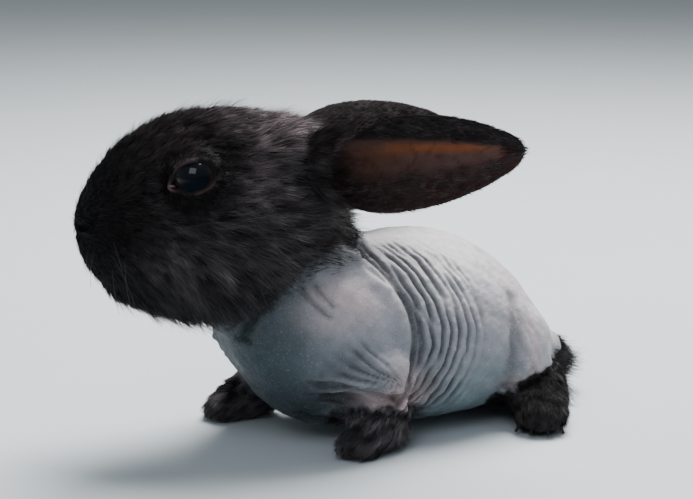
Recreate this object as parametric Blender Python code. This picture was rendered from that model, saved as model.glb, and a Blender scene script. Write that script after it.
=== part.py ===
"""A young hairless rabbit at life size, sitting with its head up.

The body is bald, and the head, ears, feet and tail carry a coat. It faces -X and its left
side is towards -Y. The body is lofted whole, fused and smoothed, then parted with thin cuts.
Sizes are written in millimetres and turned into metres by MM.
"""

import math
import random

import bmesh
import bpy
import numpy as np
from mathutils import Euler, Matrix, Vector
from mathutils.bvhtree import BVHTree

MM = 0.001
GAP = 0.3 * MM
FUSE_VOXEL = 1.0 * MM
FUSE_SMOOTHING = 9
KEPT_FACES = 0.053
SEED = 11

HEAD_CENTRE = Vector((-52.5, 2, 64.5)) * MM
HEAD_TURN = math.radians(-21)

EYE_RADIUS = 5.9 * MM
EYE_PLACE = Vector((-2.4, 14.0, 9.3)) * MM
LID_THICKNESS = 0.75 * MM
LID_OPENING = (5.3 * MM, 3.9 * MM)
LID_TILT = math.radians(-11)

EAR_BASE = Vector((22.5, 6.5, 12.5)) * MM
EAR_LENGTH = 57 * MM
EAR_THICKNESS = 1.3 * MM
# Place along the ear, half its width in mm, and how far the shell wraps round to each side.
EAR_PROFILE = (
    (0.00, 5.4, 164),
    (0.12, 7.2, 154),
    (0.26, 9.9, 116),
    (0.44, 12.0, 84),
    (0.62, 11.3, 72),
    (0.78, 8.9, 64),
    (0.90, 6.0, 58),
    (0.97, 3.6, 54),
    (1.00, 1.5, 50),
)

# Each row is a place along the body from front to back, the lowest and highest point there,
# and half the width.
TORSO_PROFILE = (
    (-48, 29, 36, 5),
    (-45, 23, 41, 10.5),
    (-40, 16, 45, 15.5),
    (-35, 9.5, 47.5, 18.5),
    (-28, 5.5, 49.5, 21.5),
    (-17, 2.8, 51.5, 24),
    (-3, 2.0, 52.5, 26),
    (12, 2.0, 52.5, 27.5),
    (25, 2.5, 48, 25.5),
    (35, 4, 40.5, 21.5),
    (42.5, 7, 31, 15.5),
    (46.5, 12, 23, 8),
)
# The same for the head, from the nose back, in its own frame.
HEAD_PROFILE = (
    (-32, -8, -1.5, 3.5),
    (-30.7, -12.5, 3.2, 7),
    (-27.7, -17.6, 8.4, 9.5),
    (-23, -21.5, 14, 12),
    (-18, -24.3, 18, 14.6),
    (-11.6, -26, 21.6, 17),
    (-5, -26.6, 23.6, 19),
    (2.5, -26.4, 24.4, 20.5),
    (10, -25, 24.2, 20.6),
    (18, -21, 22.0, 19),
    (25.5, -14, 18, 15.5),
    (31, -5, 12.5, 8.5),
)

# The coat ends on the first plane, from the throat up to the nape. The head ends on the second.
COAT_EDGE = (Vector((-35, 0, 44)), Vector((-0.383, 0, 0.923)))
HEAD_EDGE = (Vector((-35, 0, 55.5)), Vector((-0.832, 0, 0.554)))

# Side of the body, how far the forefoot reaches forwards in mm, and how far the hind toes
# turn out in degrees.
LEGS = {"left": (-1, 0.0, 52), "right": (1, 15.0, 40)}

LOCK_DEPTH = 1.6 * MM
LOCK_CLEARANCE = 0.55 * MM
LOCK_SPACING = 2.6 * MM
CLAW_LENGTH = 3.4

FUR_BLACK = (0.018, 0.016, 0.019, 1)
EAR_BROWN = (0.075, 0.040, 0.030, 1)
SKIN_GREY = (0.36, 0.36, 0.40, 1)
EYE_DARK = (0.010, 0.012, 0.020, 1)


def clear_scene():
    for thing in list(bpy.data.objects):
        bpy.data.objects.remove(thing)


def link_mesh(name, mesh):
    made = bpy.data.objects.new(name, mesh)
    bpy.context.scene.collection.objects.link(made)
    return made


def object_from(name, points, faces):
    mesh = bpy.data.meshes.new(name)
    mesh.from_pydata([tuple(p) for p in points], [], faces)
    shape = bmesh.new()
    shape.from_mesh(mesh)
    bmesh.ops.recalc_face_normals(shape, faces=shape.faces)
    shape.to_mesh(mesh)
    shape.free()
    return link_mesh(name, mesh)


def drop(things):
    for thing in things:
        bpy.data.objects.remove(thing)


def settle(thing):
    """Makes the object's modifiers part of its mesh."""
    graph = bpy.context.evaluated_depsgraph_get()
    graph.update()
    mesh = bpy.data.meshes.new_from_object(thing.evaluated_get(graph))
    thing.modifiers.clear()
    thing.data = mesh
    return thing


def place(thing, matrix):
    """Moves the mesh itself, so that the object stays at the origin."""
    thing.data.transform(matrix)
    thing.data.update()
    return thing


def copy_of(thing, name):
    return link_mesh(name, thing.data.copy())


def through(rows, count):
    """Evenly spaced rows on a smooth curve through the given rows."""
    rows = np.array(rows, float)
    ends = np.vstack([2 * rows[0] - rows[1], rows, 2 * rows[-1] - rows[-2]])
    made = []
    for at in np.linspace(0, len(rows) - 1, count):
        i = min(int(at), len(rows) - 2)
        t = at - i
        a, b, c, d = ends[i : i + 4]
        bend = 2 * a - 5 * b + 4 * c - d
        twist = 3 * b - a - 3 * c + d
        made.append(0.5 * (2 * b + (c - a) * t + bend * t**2 + twist * t**3))
    return np.array(made)


def wall(rings):
    """The faces between rings of equally many points."""
    sides = len(rings[0])
    faces = []
    for i in range(len(rings) - 1):
        for j in range(sides):
            k = (j + 1) % sides
            faces.append((i * sides + j, i * sides + k, (i + 1) * sides + k, (i + 1) * sides + j))
    return faces


def tube(name, rings):
    """A closed skin over rings of equally many points, with a cap at each end."""
    sides = len(rings[0])
    points = [p for ring in rings for p in ring]
    faces = wall(rings)
    for first in (0, len(rings) - 1):
        points.append(sum((Vector(p) for p in rings[first]), Vector()) / sides)
        for j in range(sides):
            faces.append((first * sides + j, first * sides + (j + 1) % sides, len(points) - 1))
    return object_from(name, points, faces)


def spike(name, rings, tip):
    """A closed skin over rings, with a flat cap at the root and a point at the tip."""
    sides = len(rings[0])
    points = [p for ring in rings for p in ring] + [tip]
    faces = wall(rings) + [tuple(range(sides))]
    last = (len(rings) - 1) * sides
    for j in range(sides):
        faces.append((last + j, last + (j + 1) % sides, len(points) - 1))
    return object_from(name, points, faces)


def profile_tube(name, profile, egg=0.0, square=1.0, count=28, sides=40):
    """A body lofted along X from rows of place, bottom, top and half width.

    egg narrows the upper half and widens the lower one, and a square under 1 fills out the
    lower corners.
    """
    rings = []
    for x, bottom, top, half in through(profile, count) * MM:
        middle = (bottom + top) / 2
        height = (top - bottom) / 2
        ring = []
        for j in range(sides):
            turn = 2 * math.pi * j / sides
            across = math.cos(turn)
            up = math.sin(turn)
            if up < 0:
                across = math.copysign(abs(across) ** square, across)
                up = -(abs(up) ** square)
            ring.append(Vector((x, half * (1 - egg * up) * across, middle + height * up)))
        rings.append(ring)
    return tube(name, rings)


def limb(name, joints, count=14, sides=20, across_axis=(0, 1, 0)):
    """A limb lofted through joints, each a place and two radii, one of them along an axis."""
    axis = Vector(across_axis)
    rows = through(joints, count) * MM
    rings = []
    for i, (x, y, z, across, thick) in enumerate(rows):
        before = rows[max(i - 1, 0)]
        after = rows[min(i + 1, count - 1)]
        along = Vector(after[:3] - before[:3]).normalized()
        side = (axis - along * along.dot(axis)).normalized()
        up = along.cross(side)
        ring = []
        for j in range(sides):
            turn = 2 * math.pi * j / sides
            offset = side * across * math.cos(turn) + up * thick * math.sin(turn)
            ring.append(Vector((x, y, z)) + offset)
        rings.append(ring)
    return tube(name, rings)


def ball(name, radius, fineness=3):
    shape = bmesh.new()
    bmesh.ops.create_icosphere(shape, subdivisions=fineness, radius=radius)
    mesh = bpy.data.meshes.new(name)
    shape.to_mesh(mesh)
    shape.free()
    return link_mesh(name, mesh)


def ellipsoid(name, centre, radii, turn=(0, 0, 0), fineness=3, grow=0.0):
    """An ellipsoid in millimetres, turned by angles in degrees."""
    size = Matrix.Diagonal([r * MM + grow for r in radii] + [1])
    spin = Euler([math.radians(a) for a in turn]).to_matrix().to_4x4()
    return place(ball(name, 1, fineness), Matrix.Translation(Vector(centre) * MM) @ spin @ size)


def half_space(name, point, normal, grow=0.0, size=400 * MM):
    """A big block whose one face passes through point, filling the side that normal points to."""
    normal = Vector(normal).normalized()
    shape = bmesh.new()
    bmesh.ops.create_cube(shape, size=size)
    mesh = bpy.data.meshes.new(name)
    shape.to_mesh(mesh)
    shape.free()
    spin = normal.to_track_quat("Z", "Y").to_matrix().to_4x4()
    centre = Vector(point) * MM + normal * (size / 2 - grow)
    return place(link_mesh(name, mesh), Matrix.Translation(centre) @ spin)


def grown(thing, by):
    """A copy whose surface stands proud of the first one by this much."""
    copy = copy_of(thing, thing.name + "_grown")
    swell = copy.modifiers.new("swell", "DISPLACE")
    swell.strength = by
    swell.mid_level = 0.0
    return settle(copy)


def combine(thing, others, operation, solver="EXACT"):
    """One Boolean of the object with all the others, which are then removed."""
    group = bpy.data.collections.new("joined")
    bpy.context.scene.collection.children.link(group)
    for other in others:
        group.objects.link(other)
    cut = thing.modifiers.new("joined", "BOOLEAN")
    cut.operand_type = "COLLECTION"
    cut.collection = group
    cut.operation = operation
    cut.solver = solver
    settle(thing)
    drop(others)
    bpy.data.collections.remove(group)
    return thing


def volume_of(faces):
    return abs(sum(f.verts[0].co.dot(f.verts[1].co.cross(f.verts[2].co)) for f in faces))


def keep_largest(thing):
    """Leaves only the closed surface that holds the most volume."""
    shape = bmesh.new()
    shape.from_mesh(thing.data)
    bmesh.ops.remove_doubles(shape, verts=shape.verts, dist=0.002 * MM)
    bmesh.ops.dissolve_degenerate(shape, edges=shape.edges, dist=0.002 * MM)
    bmesh.ops.triangulate(shape, faces=shape.faces)
    islands = []
    left = set(shape.faces)
    while left:
        first = left.pop()
        island = {first}
        waiting = [first]
        while waiting:
            for edge in waiting.pop().edges:
                for face in edge.link_faces:
                    if face in left:
                        left.remove(face)
                        island.add(face)
                        waiting.append(face)
        islands.append(island)
    biggest = max(islands, key=volume_of)
    others = [f for f in shape.faces if f not in biggest]
    bmesh.ops.delete(shape, geom=others, context="FACES")
    shape.to_mesh(thing.data)
    shape.free()
    return thing


def part_off(whole, name, region):
    """Cuts what lies in a region off into a new object, with a gap left between the two."""
    piece = copy_of(whole, name)
    combine(piece, [region(0.0)], "INTERSECT")
    combine(whole, [region(GAP)], "DIFFERENCE")
    keep_largest(whole)
    return keep_largest(piece)


def fuse(name, pieces):
    """Joins overlapping pieces into one smooth skin and thins its faces."""
    shape = bmesh.new()
    for piece in pieces:
        shape.from_mesh(piece.data)
    mesh = bpy.data.meshes.new(name)
    shape.to_mesh(mesh)
    shape.free()
    drop(pieces)
    made = link_mesh(name, mesh)
    skin = made.modifiers.new("skin", "REMESH")
    skin.mode = "VOXEL"
    skin.voxel_size = FUSE_VOXEL
    soften = made.modifiers.new("soften", "SMOOTH")
    soften.factor = 0.5
    soften.iterations = FUSE_SMOOTHING
    thin = made.modifiers.new("thin", "DECIMATE")
    thin.ratio = KEPT_FACES
    return settle(made)


def tree_of(thing):
    shape = bmesh.new()
    shape.from_mesh(thing.data)
    tree = BVHTree.FromBMesh(shape)
    shape.free()
    return tree


def head_place():
    return Matrix.Translation(HEAD_CENTRE) @ Matrix.Rotation(HEAD_TURN, 4, "Z")


def beside(place_in_head, side):
    """A place given for the side towards +Y, moved to the named side of the head."""
    return Vector((place_in_head.x, place_in_head.y * side, place_in_head.z))


def head_pieces():
    """The furry outline of the head, with its muzzle and cheeks."""
    pieces = [profile_tube("skull", HEAD_PROFILE, egg=0.10)]
    for side in (-1, 1):
        pieces.append(ellipsoid("whisker_pad", (-23.5, side * 5, -8.5), (7.5, 6.5, 7.5)))
        pieces.append(ellipsoid("cheek", (5, side * 10.5, -11), (17, 11, 14)))
        pieces.append(ellipsoid("brow", (-2.5, side * 12, 12.5), (10, 5.5, 5.5)))
        pieces.append(ellipsoid("ear_root", (18, side * 9, 11.6), (11.5, 8.5, 9.5)))
    pieces.append(ellipsoid("nose", (-29, 0, -4), (3.4, 5.0, 4.2)))
    pieces.append(ellipsoid("chin", (-17.5, 0, -19), (8, 7, 6)))
    for piece in pieces:
        place(piece, head_place())
    return pieces


def neck_pieces():
    joints = (
        (-14, 0, 32, 20, 19),
        (-25, 0, 40, 20, 21),
        (-36, 0.5, 49, 19, 22),
        (-45, 1, 58, 18, 21.5),
        (-51, 2, 64, 16, 19),
    )
    return [limb("neck_core", joints, sides=32)]


def foreleg_pieces(side, reach):
    """The shoulder, upper arm and forearm. reach moves the elbow and wrist forwards."""
    shoulder = (-21 - 0.3 * reach, side * 16, 30)
    arm = (
        (-29 - 0.2 * reach, side * 17, 24, 8, 8.5),
        (-19 - 0.5 * reach, side * 21, 22, 7.5, 8),
        (-9.5 - 0.7 * reach, side * 22, 20, 5.5, 6.5),
    )
    forearm = (
        (-9 - 0.7 * reach, side * 22, 20.5, 5.2, 5.6),
        (-12 - 0.9 * reach, side * 21.8, 15.5, 5.2, 5.4),
        (-14.5 - reach, side * 21, 10, 5.2, 5.4),
        (-15.5 - reach, side * 21, 6, 5.4, 5.6),
    )
    return [
        ellipsoid("shoulder", shoulder, (18, 10, 17.5), turn=(0, 18, 0)),
        limb("arm", arm),
        limb("forearm", forearm),
    ]


def forefoot_pieces(side, reach):
    """The furry forefoot, a short mitten that flares over the toes."""
    x = -14 - reach
    y = side * 21.5
    turn = (0, 0, side * -12)
    return [
        ellipsoid("forefoot", (x, y, 6.5), (10.5, 8, 7.5), turn=turn),
        ellipsoid("toes", (x - 6.5, y + side * 1.5, 3.5), (8, 7.5, 5.5), turn=turn),
        ellipsoid("wrist_coat", (x + 2, y, 9.5), (7.5, 7, 6)),
    ]


def haunch_pieces(side):
    shin = (
        (24, side * 18, 13, 8, 8),
        (34, side * 17.5, 10, 7, 7),
        (43, side * 15, 8, 6, 6),
    )
    return [
        ellipsoid("thigh", (28.5, side * 14.5, 19.5), (15, 11.5, 15), turn=(0, -20, 0)),
        limb("shin", shin),
    ]


def hindfoot_forward(side, toe_out):
    turn = math.radians(toe_out)
    return Vector((-math.cos(turn), side * math.sin(turn), 0))


def hindfoot_pieces(side, toe_out):
    """The furry hind foot, turned out at the toes."""
    forward = hindfoot_forward(side, toe_out)
    heel = Vector((45.5, side * 11, 0))
    pieces = []
    for along, height, radii in ((2, 7, (8.5, 8, 7.5)), (12, 6.5, (11, 8.5, 7.5)), (22, 5, (9.5, 9, 6.5))):
        centre = heel + forward * along + Vector((0, 0, height))
        pieces.append(ellipsoid("hindfoot", centre, radii, turn=(0, 0, side * -toe_out)))
    return pieces


def tail_pieces():
    joints = (
        (39, 0, 15, 6, 7),
        (45, 0, 14.5, 6.5, 7),
        (51, 0, 12.5, 7, 7.5),
        (56, 0, 10, 5.5, 6.5),
        (59, 0, 8, 3, 4),
    )
    return [limb("tail_core", joints)]


def whole_body():
    pieces = [profile_tube("trunk", TORSO_PROFILE, square=0.8)]
    pieces += neck_pieces() + head_pieces() + tail_pieces()
    for side, reach, toe_out in LEGS.values():
        pieces += foreleg_pieces(side, reach) + forefoot_pieces(side, reach)
        pieces += haunch_pieces(side) + hindfoot_pieces(side, toe_out)
    body = fuse("torso", pieces)
    return combine(body, [half_space("floor_cut", (0, 0, 0), (0, 0, -1))], "DIFFERENCE")


def part_body(torso):
    """Divides the fused body into its named parts."""
    nodes = {}
    neck = part_off(torso, "neck", lambda grow: half_space("edge", *COAT_EDGE, grow=grow))
    nodes["head"] = part_off(neck, "head", lambda grow: half_space("edge", *HEAD_EDGE, grow=grow))
    nodes["neck"] = neck
    nodes["tail"] = part_off(
        torso, "tail", lambda grow: ellipsoid("edge", (55, 0, 8), (10, 9, 14), grow=grow)
    )
    for name, (side, reach, toe_out) in LEGS.items():
        x = -16 - reach
        nodes["forefoot_" + name] = part_off(
            torso,
            "forefoot_" + name,
            lambda grow: ellipsoid("edge", (x, side * 23.5, 0), (19, 13, 12.5), grow=grow),
        )
        middle = Vector((45.5, side * 11, 0)) + hindfoot_forward(side, toe_out) * 10
        nodes["hindfoot_" + name] = part_off(
            torso,
            "hindfoot_" + name,
            lambda grow: ellipsoid("edge", middle, (24, 14, 14.5), turn=(0, 0, side * -toe_out), grow=grow),
        )
        nodes["foreleg_" + name] = part_off(
            torso,
            "foreleg_" + name,
            lambda grow: ellipsoid(
                "edge", (-18 - 0.45 * reach, side * 27, 27), (22 + 0.2 * reach, 16.5, 24), grow=grow
            ),
        )
        nodes["thigh_" + name] = part_off(
            torso,
            "thigh_" + name,
            lambda grow: ellipsoid("edge", (29, side * 24, 17), (17.5, 14, 20), grow=grow),
        )
    nodes["torso"] = torso
    return nodes


def eye_centre(side):
    return head_place() @ beside(EYE_PLACE, side)


def eye_frame(side):
    """Local Z looks out of the eye, and local X runs along the opening of the lids."""
    out = Vector((-0.22, side, 0.16)).normalized()
    ahead = Vector((-1, 0, 0))
    ahead = (ahead - out * ahead.dot(out)).normalized()
    up = out.cross(ahead)
    turned = Matrix((ahead, up, out)).transposed().to_4x4()
    turned = turned @ Matrix.Rotation(side * LID_TILT, 4, "Z")
    spin = Matrix.Rotation(HEAD_TURN, 4, "Z")
    return Matrix.Translation(eye_centre(side)) @ spin @ turned


def lid_opening(side):
    """A cone from the middle of the eye out through the almond between the lids."""
    radius = EYE_RADIUS + GAP + LID_THICKNESS
    slopes = [half / math.sqrt(radius**2 - half**2) for half in LID_OPENING]
    rings = []
    for depth in (0.6 * MM, 9 * MM):
        ring = []
        for j in range(24):
            turn = 2 * math.pi * j / 24
            reach = math.copysign(abs(math.cos(turn)) ** 1.15, math.cos(turn))
            ring.append(Vector((slopes[0] * reach, slopes[1] * math.sin(turn), 1)) * depth)
        rings.append(ring)
    return place(tube("opening", rings), eye_frame(side))


def set_eye(head, name, side):
    """Opens a socket with lids in the head, and returns the globe that sits in it."""
    at = Matrix.Translation(eye_centre(side))
    lids = place(ball("lids", EYE_RADIUS + GAP + LID_THICKNESS), at)
    combine(head, [lids], "UNION")
    socket = place(ball("socket", EYE_RADIUS + GAP), at)
    combine(head, [socket], "DIFFERENCE")
    combine(head, [lid_opening(side)], "DIFFERENCE")
    return place(ball(name, EYE_RADIUS), at)


def groove(head, name, path, radius, across_axis):
    """A cutter that runs along the skin of the head, under places given as rays from its middle."""
    tree = tree_of(head)
    joints = []
    for start, toward in path:
        start = head_place() @ (Vector(start) * MM)
        toward = head_place().to_3x3() @ Vector(toward).normalized()
        found = tree.ray_cast(start + toward * 60 * MM, -toward)[0]
        joints.append((*(found / MM), radius, radius))
    return limb(name, joints, count=12, sides=8, across_axis=across_axis)


def carve_face(head):
    """The nostrils, the cleft below them and the line of the mouth."""
    nostrils = []
    for side in (-1, 1):
        slit = ellipsoid("nostril", (-28.8, side * 3.9, -4.2), (2.6, 0.75, 1.5), turn=(0, 0, side * 52))
        nostrils.append(place(slit, head_place()))
    cleft = groove(
        head,
        "cleft",
        (((-20, 0, -6), (-1, 0, 0)), ((-20, 0, -9), (-1, 0, -0.1)), ((-18, 0, -12), (-1, 0, -0.3))),
        0.55,
        (0, 1, 0),
    )
    mouth = groove(
        head,
        "mouth",
        (
            ((-14, 0, -13), (-0.75, -1, -0.25)),
            ((-16, 0, -13), (-1, -0.8, -0.35)),
            ((-18, 0, -12), (-1, -0.25, -0.38)),
            ((-18, 0, -12), (-1, 0.25, -0.38)),
            ((-16, 0, -13), (-1, 0.8, -0.35)),
            ((-14, 0, -13), (-0.75, 1, -0.25)),
        ),
        0.6,
        (0, 0, 1),
    )
    combine(head, nostrils, "DIFFERENCE")
    combine(head, [cleft], "DIFFERENCE")
    combine(head, [mouth], "DIFFERENCE")
    return keep_largest(head)


def ear_shell(name, side):
    """A thin shell that starts as a tube and opens into a long cup with rounded rims."""
    base = head_place() @ beside(EAR_BASE, side)
    if side < 0:
        along = Vector((0.866, -0.5, 0.03)).normalized()
        opening = Vector((-0.48, -0.86, -0.16))
    else:
        base.z -= 3.8 * MM
        along = Vector((0.95, 0.17, 0.075)).normalized()
        opening = Vector((-0.1, 0.95, -0.2))
    opening = (opening - along * opening.dot(along)).normalized()
    across = along.cross(opening)
    half_ring = 9
    rings = []
    for t, half, wrap in through(EAR_PROFILE, 15):
        t = min(max(t, 0.0), 1.0)
        wrap = math.radians(wrap)
        radius = half * MM / (math.sin(wrap) if wrap < math.pi / 2 else 1.0)
        thick = EAR_THICKNESS * (1.25 - 0.55 * t)
        sag = 2.0 * MM * math.sin(math.pi * t)
        middle = base + along * (EAR_LENGTH * t) + opening * (radius - sag)
        ring = []
        for r, way in ((radius + thick / 2, 1), (radius - thick / 2, -1)):
            for i in range(half_ring):
                turn = way * wrap * (2 * i / (half_ring - 1) - 1)
                ring.append(middle - opening * r * math.cos(turn) + across * r * math.sin(turn))
            turn = way * (wrap + 0.5 * thick / radius)
            ring.append(middle - opening * radius * math.cos(turn) + across * radius * math.sin(turn))
        rings.append(ring)
    sides = len(rings[0])
    points = [p for ring in rings for p in ring]
    faces = wall(rings)
    for first in (0, len(rings) - 1):
        for i in range(half_ring - 1):
            outer = first * sides + i
            inner = first * sides + 2 * half_ring - i
            faces.append((outer, outer + 1, inner - 1, inner))
        for rim in (half_ring, 2 * half_ring + 1):
            near = first * sides + (rim + 1) % sides
            faces.append((first * sides + rim - 1, first * sides + rim, near))
    return object_from(name, points, faces)


def set_ear(nodes, name, side):
    ear = ear_shell(name, side)
    for neighbour in ("head", "neck"):
        combine(ear, [grown(nodes[neighbour], GAP)], "DIFFERENCE")
    return keep_largest(ear)


def inside(tree, point):
    """Whether the point lies within the closed surface, by how often a ray from it crosses that."""
    ray = Vector((0.13, 0.21, 0.97)).normalized()
    crossed = 0
    found = tree.ray_cast(point, ray)[0]
    while found:
        crossed += 1
        found = tree.ray_cast(found + ray * 0.002 * MM, ray)[0]
    return crossed % 2 == 1


def between(rings, tip):
    """Points spread over a lock, along the edges from its root to its tip."""
    stations = rings + [[tip] * len(rings[0])]
    for near, far in zip(stations, stations[1:]):
        for a, b in zip(near, far):
            for share in (0.0, 0.25, 0.5, 0.75, 1.0):
                yield a.lerp(b, share)


class Coat:
    """Draws locks over the skin of the whole body, and keeps those of different nodes apart."""

    def __init__(self, skin, nodes):
        self.skin = skin
        self.solids = {name: tree_of(thing) for name, thing in nodes.items()}
        self.laid = []

    def meets_others(self, owner, rings, tip):
        for name, solid in self.solids.items():
            if name == owner:
                continue
            for point in between(rings, tip):
                if solid.find_nearest(point, 0.8 * GAP)[0] or inside(solid, point):
                    return True
        return False

    def root(self, start, toward):
        """The place and normal where a ray from inside, in millimetres, leaves the skin."""
        toward = Vector(toward).normalized()
        start = Vector(start) * MM
        found, normal, index, distance = self.skin.ray_cast(start + toward * 70 * MM, -toward)
        return (found, normal) if found else (None, None)

    def raised(self, point, height):
        """The point, moved out until it stands this high over the skin."""
        near, normal, index, distance = self.skin.find_nearest(point)
        if (point - near).dot(normal) < height:
            point = near + normal * height
        return Vector((point.x, point.y, max(point.z, height + 0.2 * MM)))

    def lock(self, owner, root, normal, lie, length, width, lift, droop=0.0):
        """A flat lock that tapers to a point, or None where another node's lock is too near."""
        lie = (Vector(lie) - normal * normal.dot(Vector(lie))).normalized()
        middles = [root - normal * LOCK_DEPTH - lie * 0.5 * MM]
        for share in (0.36, 0.72, 1.0):
            point = root + (lie * share + normal * lift * share - Vector((0, 0, droop * share**2))) * length
            middles.append(self.raised(point, LOCK_CLEARANCE))
        for other, points in self.laid:
            if other != owner and min((a - b).length for a in middles for b in points) < LOCK_SPACING:
                return None
        side = normal.cross(lie).normalized()
        rings = []
        for middle, broad, thick in zip(middles, (0.85, 1.0, 0.66), (1.2, 1.0, 0.75)):
            edges = [middle + side * width * broad, middle - side * width * broad]
            if rings:
                edges = [self.raised(edge, LOCK_CLEARANCE) for edge in edges]
            rings.append([edges[0], middle + normal * thick * MM, edges[1]])
        if self.meets_others(owner, rings, middles[-1]):
            return None
        self.laid.append((owner, middles))
        return spike(owner + "_lock", rings, middles[-1])


def head_axis(vector):
    """A direction given in the head's own frame, turned into the body's."""
    return Matrix.Rotation(HEAD_TURN, 3, "Z") @ Vector(vector)


def ruff_locks(coat):
    """The fringe where the coat ends, round the throat, the sides of the neck and the nape."""
    origin, normal = COAT_EDGE
    along = Vector((normal.z, 0, -normal.x))
    for i in range(38):
        turn = 2 * math.pi * (i + random.uniform(-0.25, 0.25)) / 38
        toward = along * math.cos(turn) + Vector((0, 1, 0)) * math.sin(turn)
        depth = random.uniform(3.8, 5.6)
        root, out = coat.root(origin + Vector((1, 0.5, 0)) + normal * depth, toward)
        head_side = (root / MM - HEAD_EDGE[0]).dot(HEAD_EDGE[1])
        if abs(head_side) < 2.6:
            continue
        owner = "head" if head_side > 0 else "neck"
        lie = Vector((0.75, 0.15 * toward.y, -0.65))
        length = random.uniform(7.5, 10.5) * MM
        yield owner, coat.lock(owner, root, out, lie, length, random.uniform(1.1, 1.5) * MM, 0.12)


def cheek_locks(coat):
    """Tufts in rows along the jaws and cheeks, pointing back and down."""
    for side in (-1, 1):
        for row, (height, reach) in enumerate(((-22, 7), (-16.5, 7.5))):
            for i in range(8 - row):
                x = -14 + 4.3 * i + 4 * row + random.uniform(-0.7, 0.7)
                start = head_place() @ (Vector((x, 0, -6)) * MM)
                toward = head_axis((0, side * (7 + 6 * row), height + 6))
                root, out = coat.root(start / MM, toward)
                if (root / MM - HEAD_EDGE[0]).dot(HEAD_EDGE[1]) < 3.0:
                    continue
                lie = head_axis((1, side * 0.1, -0.55))
                length = (reach + random.uniform(-1, 1)) * MM
                yield "head", coat.lock("head", root, out, lie, length, 1.3 * MM, 0.13, droop=0.1)


def foot_locks(coat):
    """A skirt of tufts round each foot, down to the floor."""
    for name, (side, reach, toe_out) in LEGS.items():
        middle = Vector((-19 - reach, side * 22, 6))
        for i in range(10):
            turn = 2 * math.pi * (i + random.uniform(-0.2, 0.2)) / 10
            toward = Vector((math.cos(turn), math.sin(turn), 0.1))
            root, out = coat.root(middle, toward)
            if root.z > 9 * MM or (root / MM - middle).length > 16:
                continue
            owner = "forefoot_" + name
            lie = toward + Vector((0, 0, -1.4))
            yield owner, coat.lock(owner, root, out, lie, random.uniform(5, 6.5) * MM, 1.6 * MM, 0.2)
        middle = Vector((45.5, side * 11, 6)) + hindfoot_forward(side, toe_out) * 14
        for i in range(12):
            turn = 2 * math.pi * (i + random.uniform(-0.2, 0.2)) / 12
            toward = Vector((math.cos(turn), math.sin(turn), 0.1))
            root, out = coat.root(middle, toward)
            if root.z > 9 * MM or (root / MM - middle).length > 22:
                continue
            owner = "hindfoot_" + name
            lie = toward + Vector((0, 0, -1.3))
            yield owner, coat.lock(owner, root, out, lie, random.uniform(5, 7) * MM, 1.7 * MM, 0.2)


def tail_locks(coat):
    """The tuft of the tail, with its locks fanned back and up."""
    for i in range(16):
        turn = 2 * math.pi * i / 16 + random.uniform(-0.15, 0.15)
        ring = i % 2
        start = Vector((54 - 3 * ring, 0, 11 + ring))
        toward = Vector((0.9 - 0.7 * ring, math.cos(turn), math.sin(turn)))
        root, out = coat.root(start, toward)
        if root.x < 47.5 * MM:
            continue
        lie = Vector((1.2, 0.3 * math.cos(turn), 0.3 * math.sin(turn) - 0.35))
        yield "tail", coat.lock("tail", root, out, lie, random.uniform(5.5, 7.5) * MM, 1.7 * MM, 0.22)


def claws(coat):
    """Four small claws on each foot, that stick out of the coat at the toes."""
    for name, (side, reach, toe_out) in LEGS.items():
        fore = (Vector((-21 - reach, side * 23, 3)), Vector((-1, side * 0.22, 0)), "forefoot_" + name)
        ahead = hindfoot_forward(side, toe_out)
        hind = (Vector((45.5, side * 11, 3)) + ahead * 20, ahead, "hindfoot_" + name)
        for middle, forward, owner in (fore, hind):
            sideways = Vector((-forward.y, forward.x, 0))
            for toe in (-1.5, -0.5, 0.5, 1.5):
                toward = (forward + sideways * 0.42 * toe).normalized()
                root, out = coat.root(middle + sideways * 1.6 * toe, toward)
                root = root / MM
                tip = root + toward * CLAW_LENGTH
                bend = root + toward * CLAW_LENGTH * 0.5 + Vector((0, 0, 0.5))
                joints = (
                    (*(root - toward * 2), 0.85, 0.95),
                    (*bend, 0.65, 0.75),
                    (tip.x, tip.y, max(tip.z - 0.8, 0.5), 0.2, 0.25),
                )
                yield owner, limb("claw", joints, count=3, sides=5, across_axis=sideways)


def grow_coat(coat, nodes):
    """Fuses the locks and claws into the nodes that they grow from."""
    grown_from = {}
    for source in (ruff_locks, cheek_locks, foot_locks, tail_locks, claws):
        for owner, piece in source(coat):
            if piece:
                grown_from.setdefault(owner, []).append(piece)
    for owner, pieces in grown_from.items():
        combine(nodes[owner], pieces, "UNION")
        keep_largest(nodes[owner])


def paint(thing, name, colour, roughness):
    material = bpy.data.materials.get(name) or bpy.data.materials.new(name)
    material.use_nodes = True
    material.diffuse_color = colour
    surface = material.node_tree.nodes["Principled BSDF"]
    surface.inputs["Base Color"].default_value = colour
    surface.inputs["Roughness"].default_value = roughness
    surface.inputs["Metallic"].default_value = 0.0
    thing.data.materials.clear()
    thing.data.materials.append(material)
    thing.data.shade_smooth()
    thing.data.set_sharp_from_angle(angle=math.radians(45))


def paint_nodes(nodes):
    for name, thing in nodes.items():
        kind = name.split("_")[0]
        if kind == "eye":
            paint(thing, name + "_gloss", EYE_DARK, 0.05)
        elif kind == "ear":
            paint(thing, name + "_coat", EAR_BROWN, 0.8)
        elif kind in ("torso", "foreleg", "thigh"):
            paint(thing, name + "_skin", SKIN_GREY, 0.55)
        else:
            paint(thing, name + "_coat", FUR_BLACK, 0.85)


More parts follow.
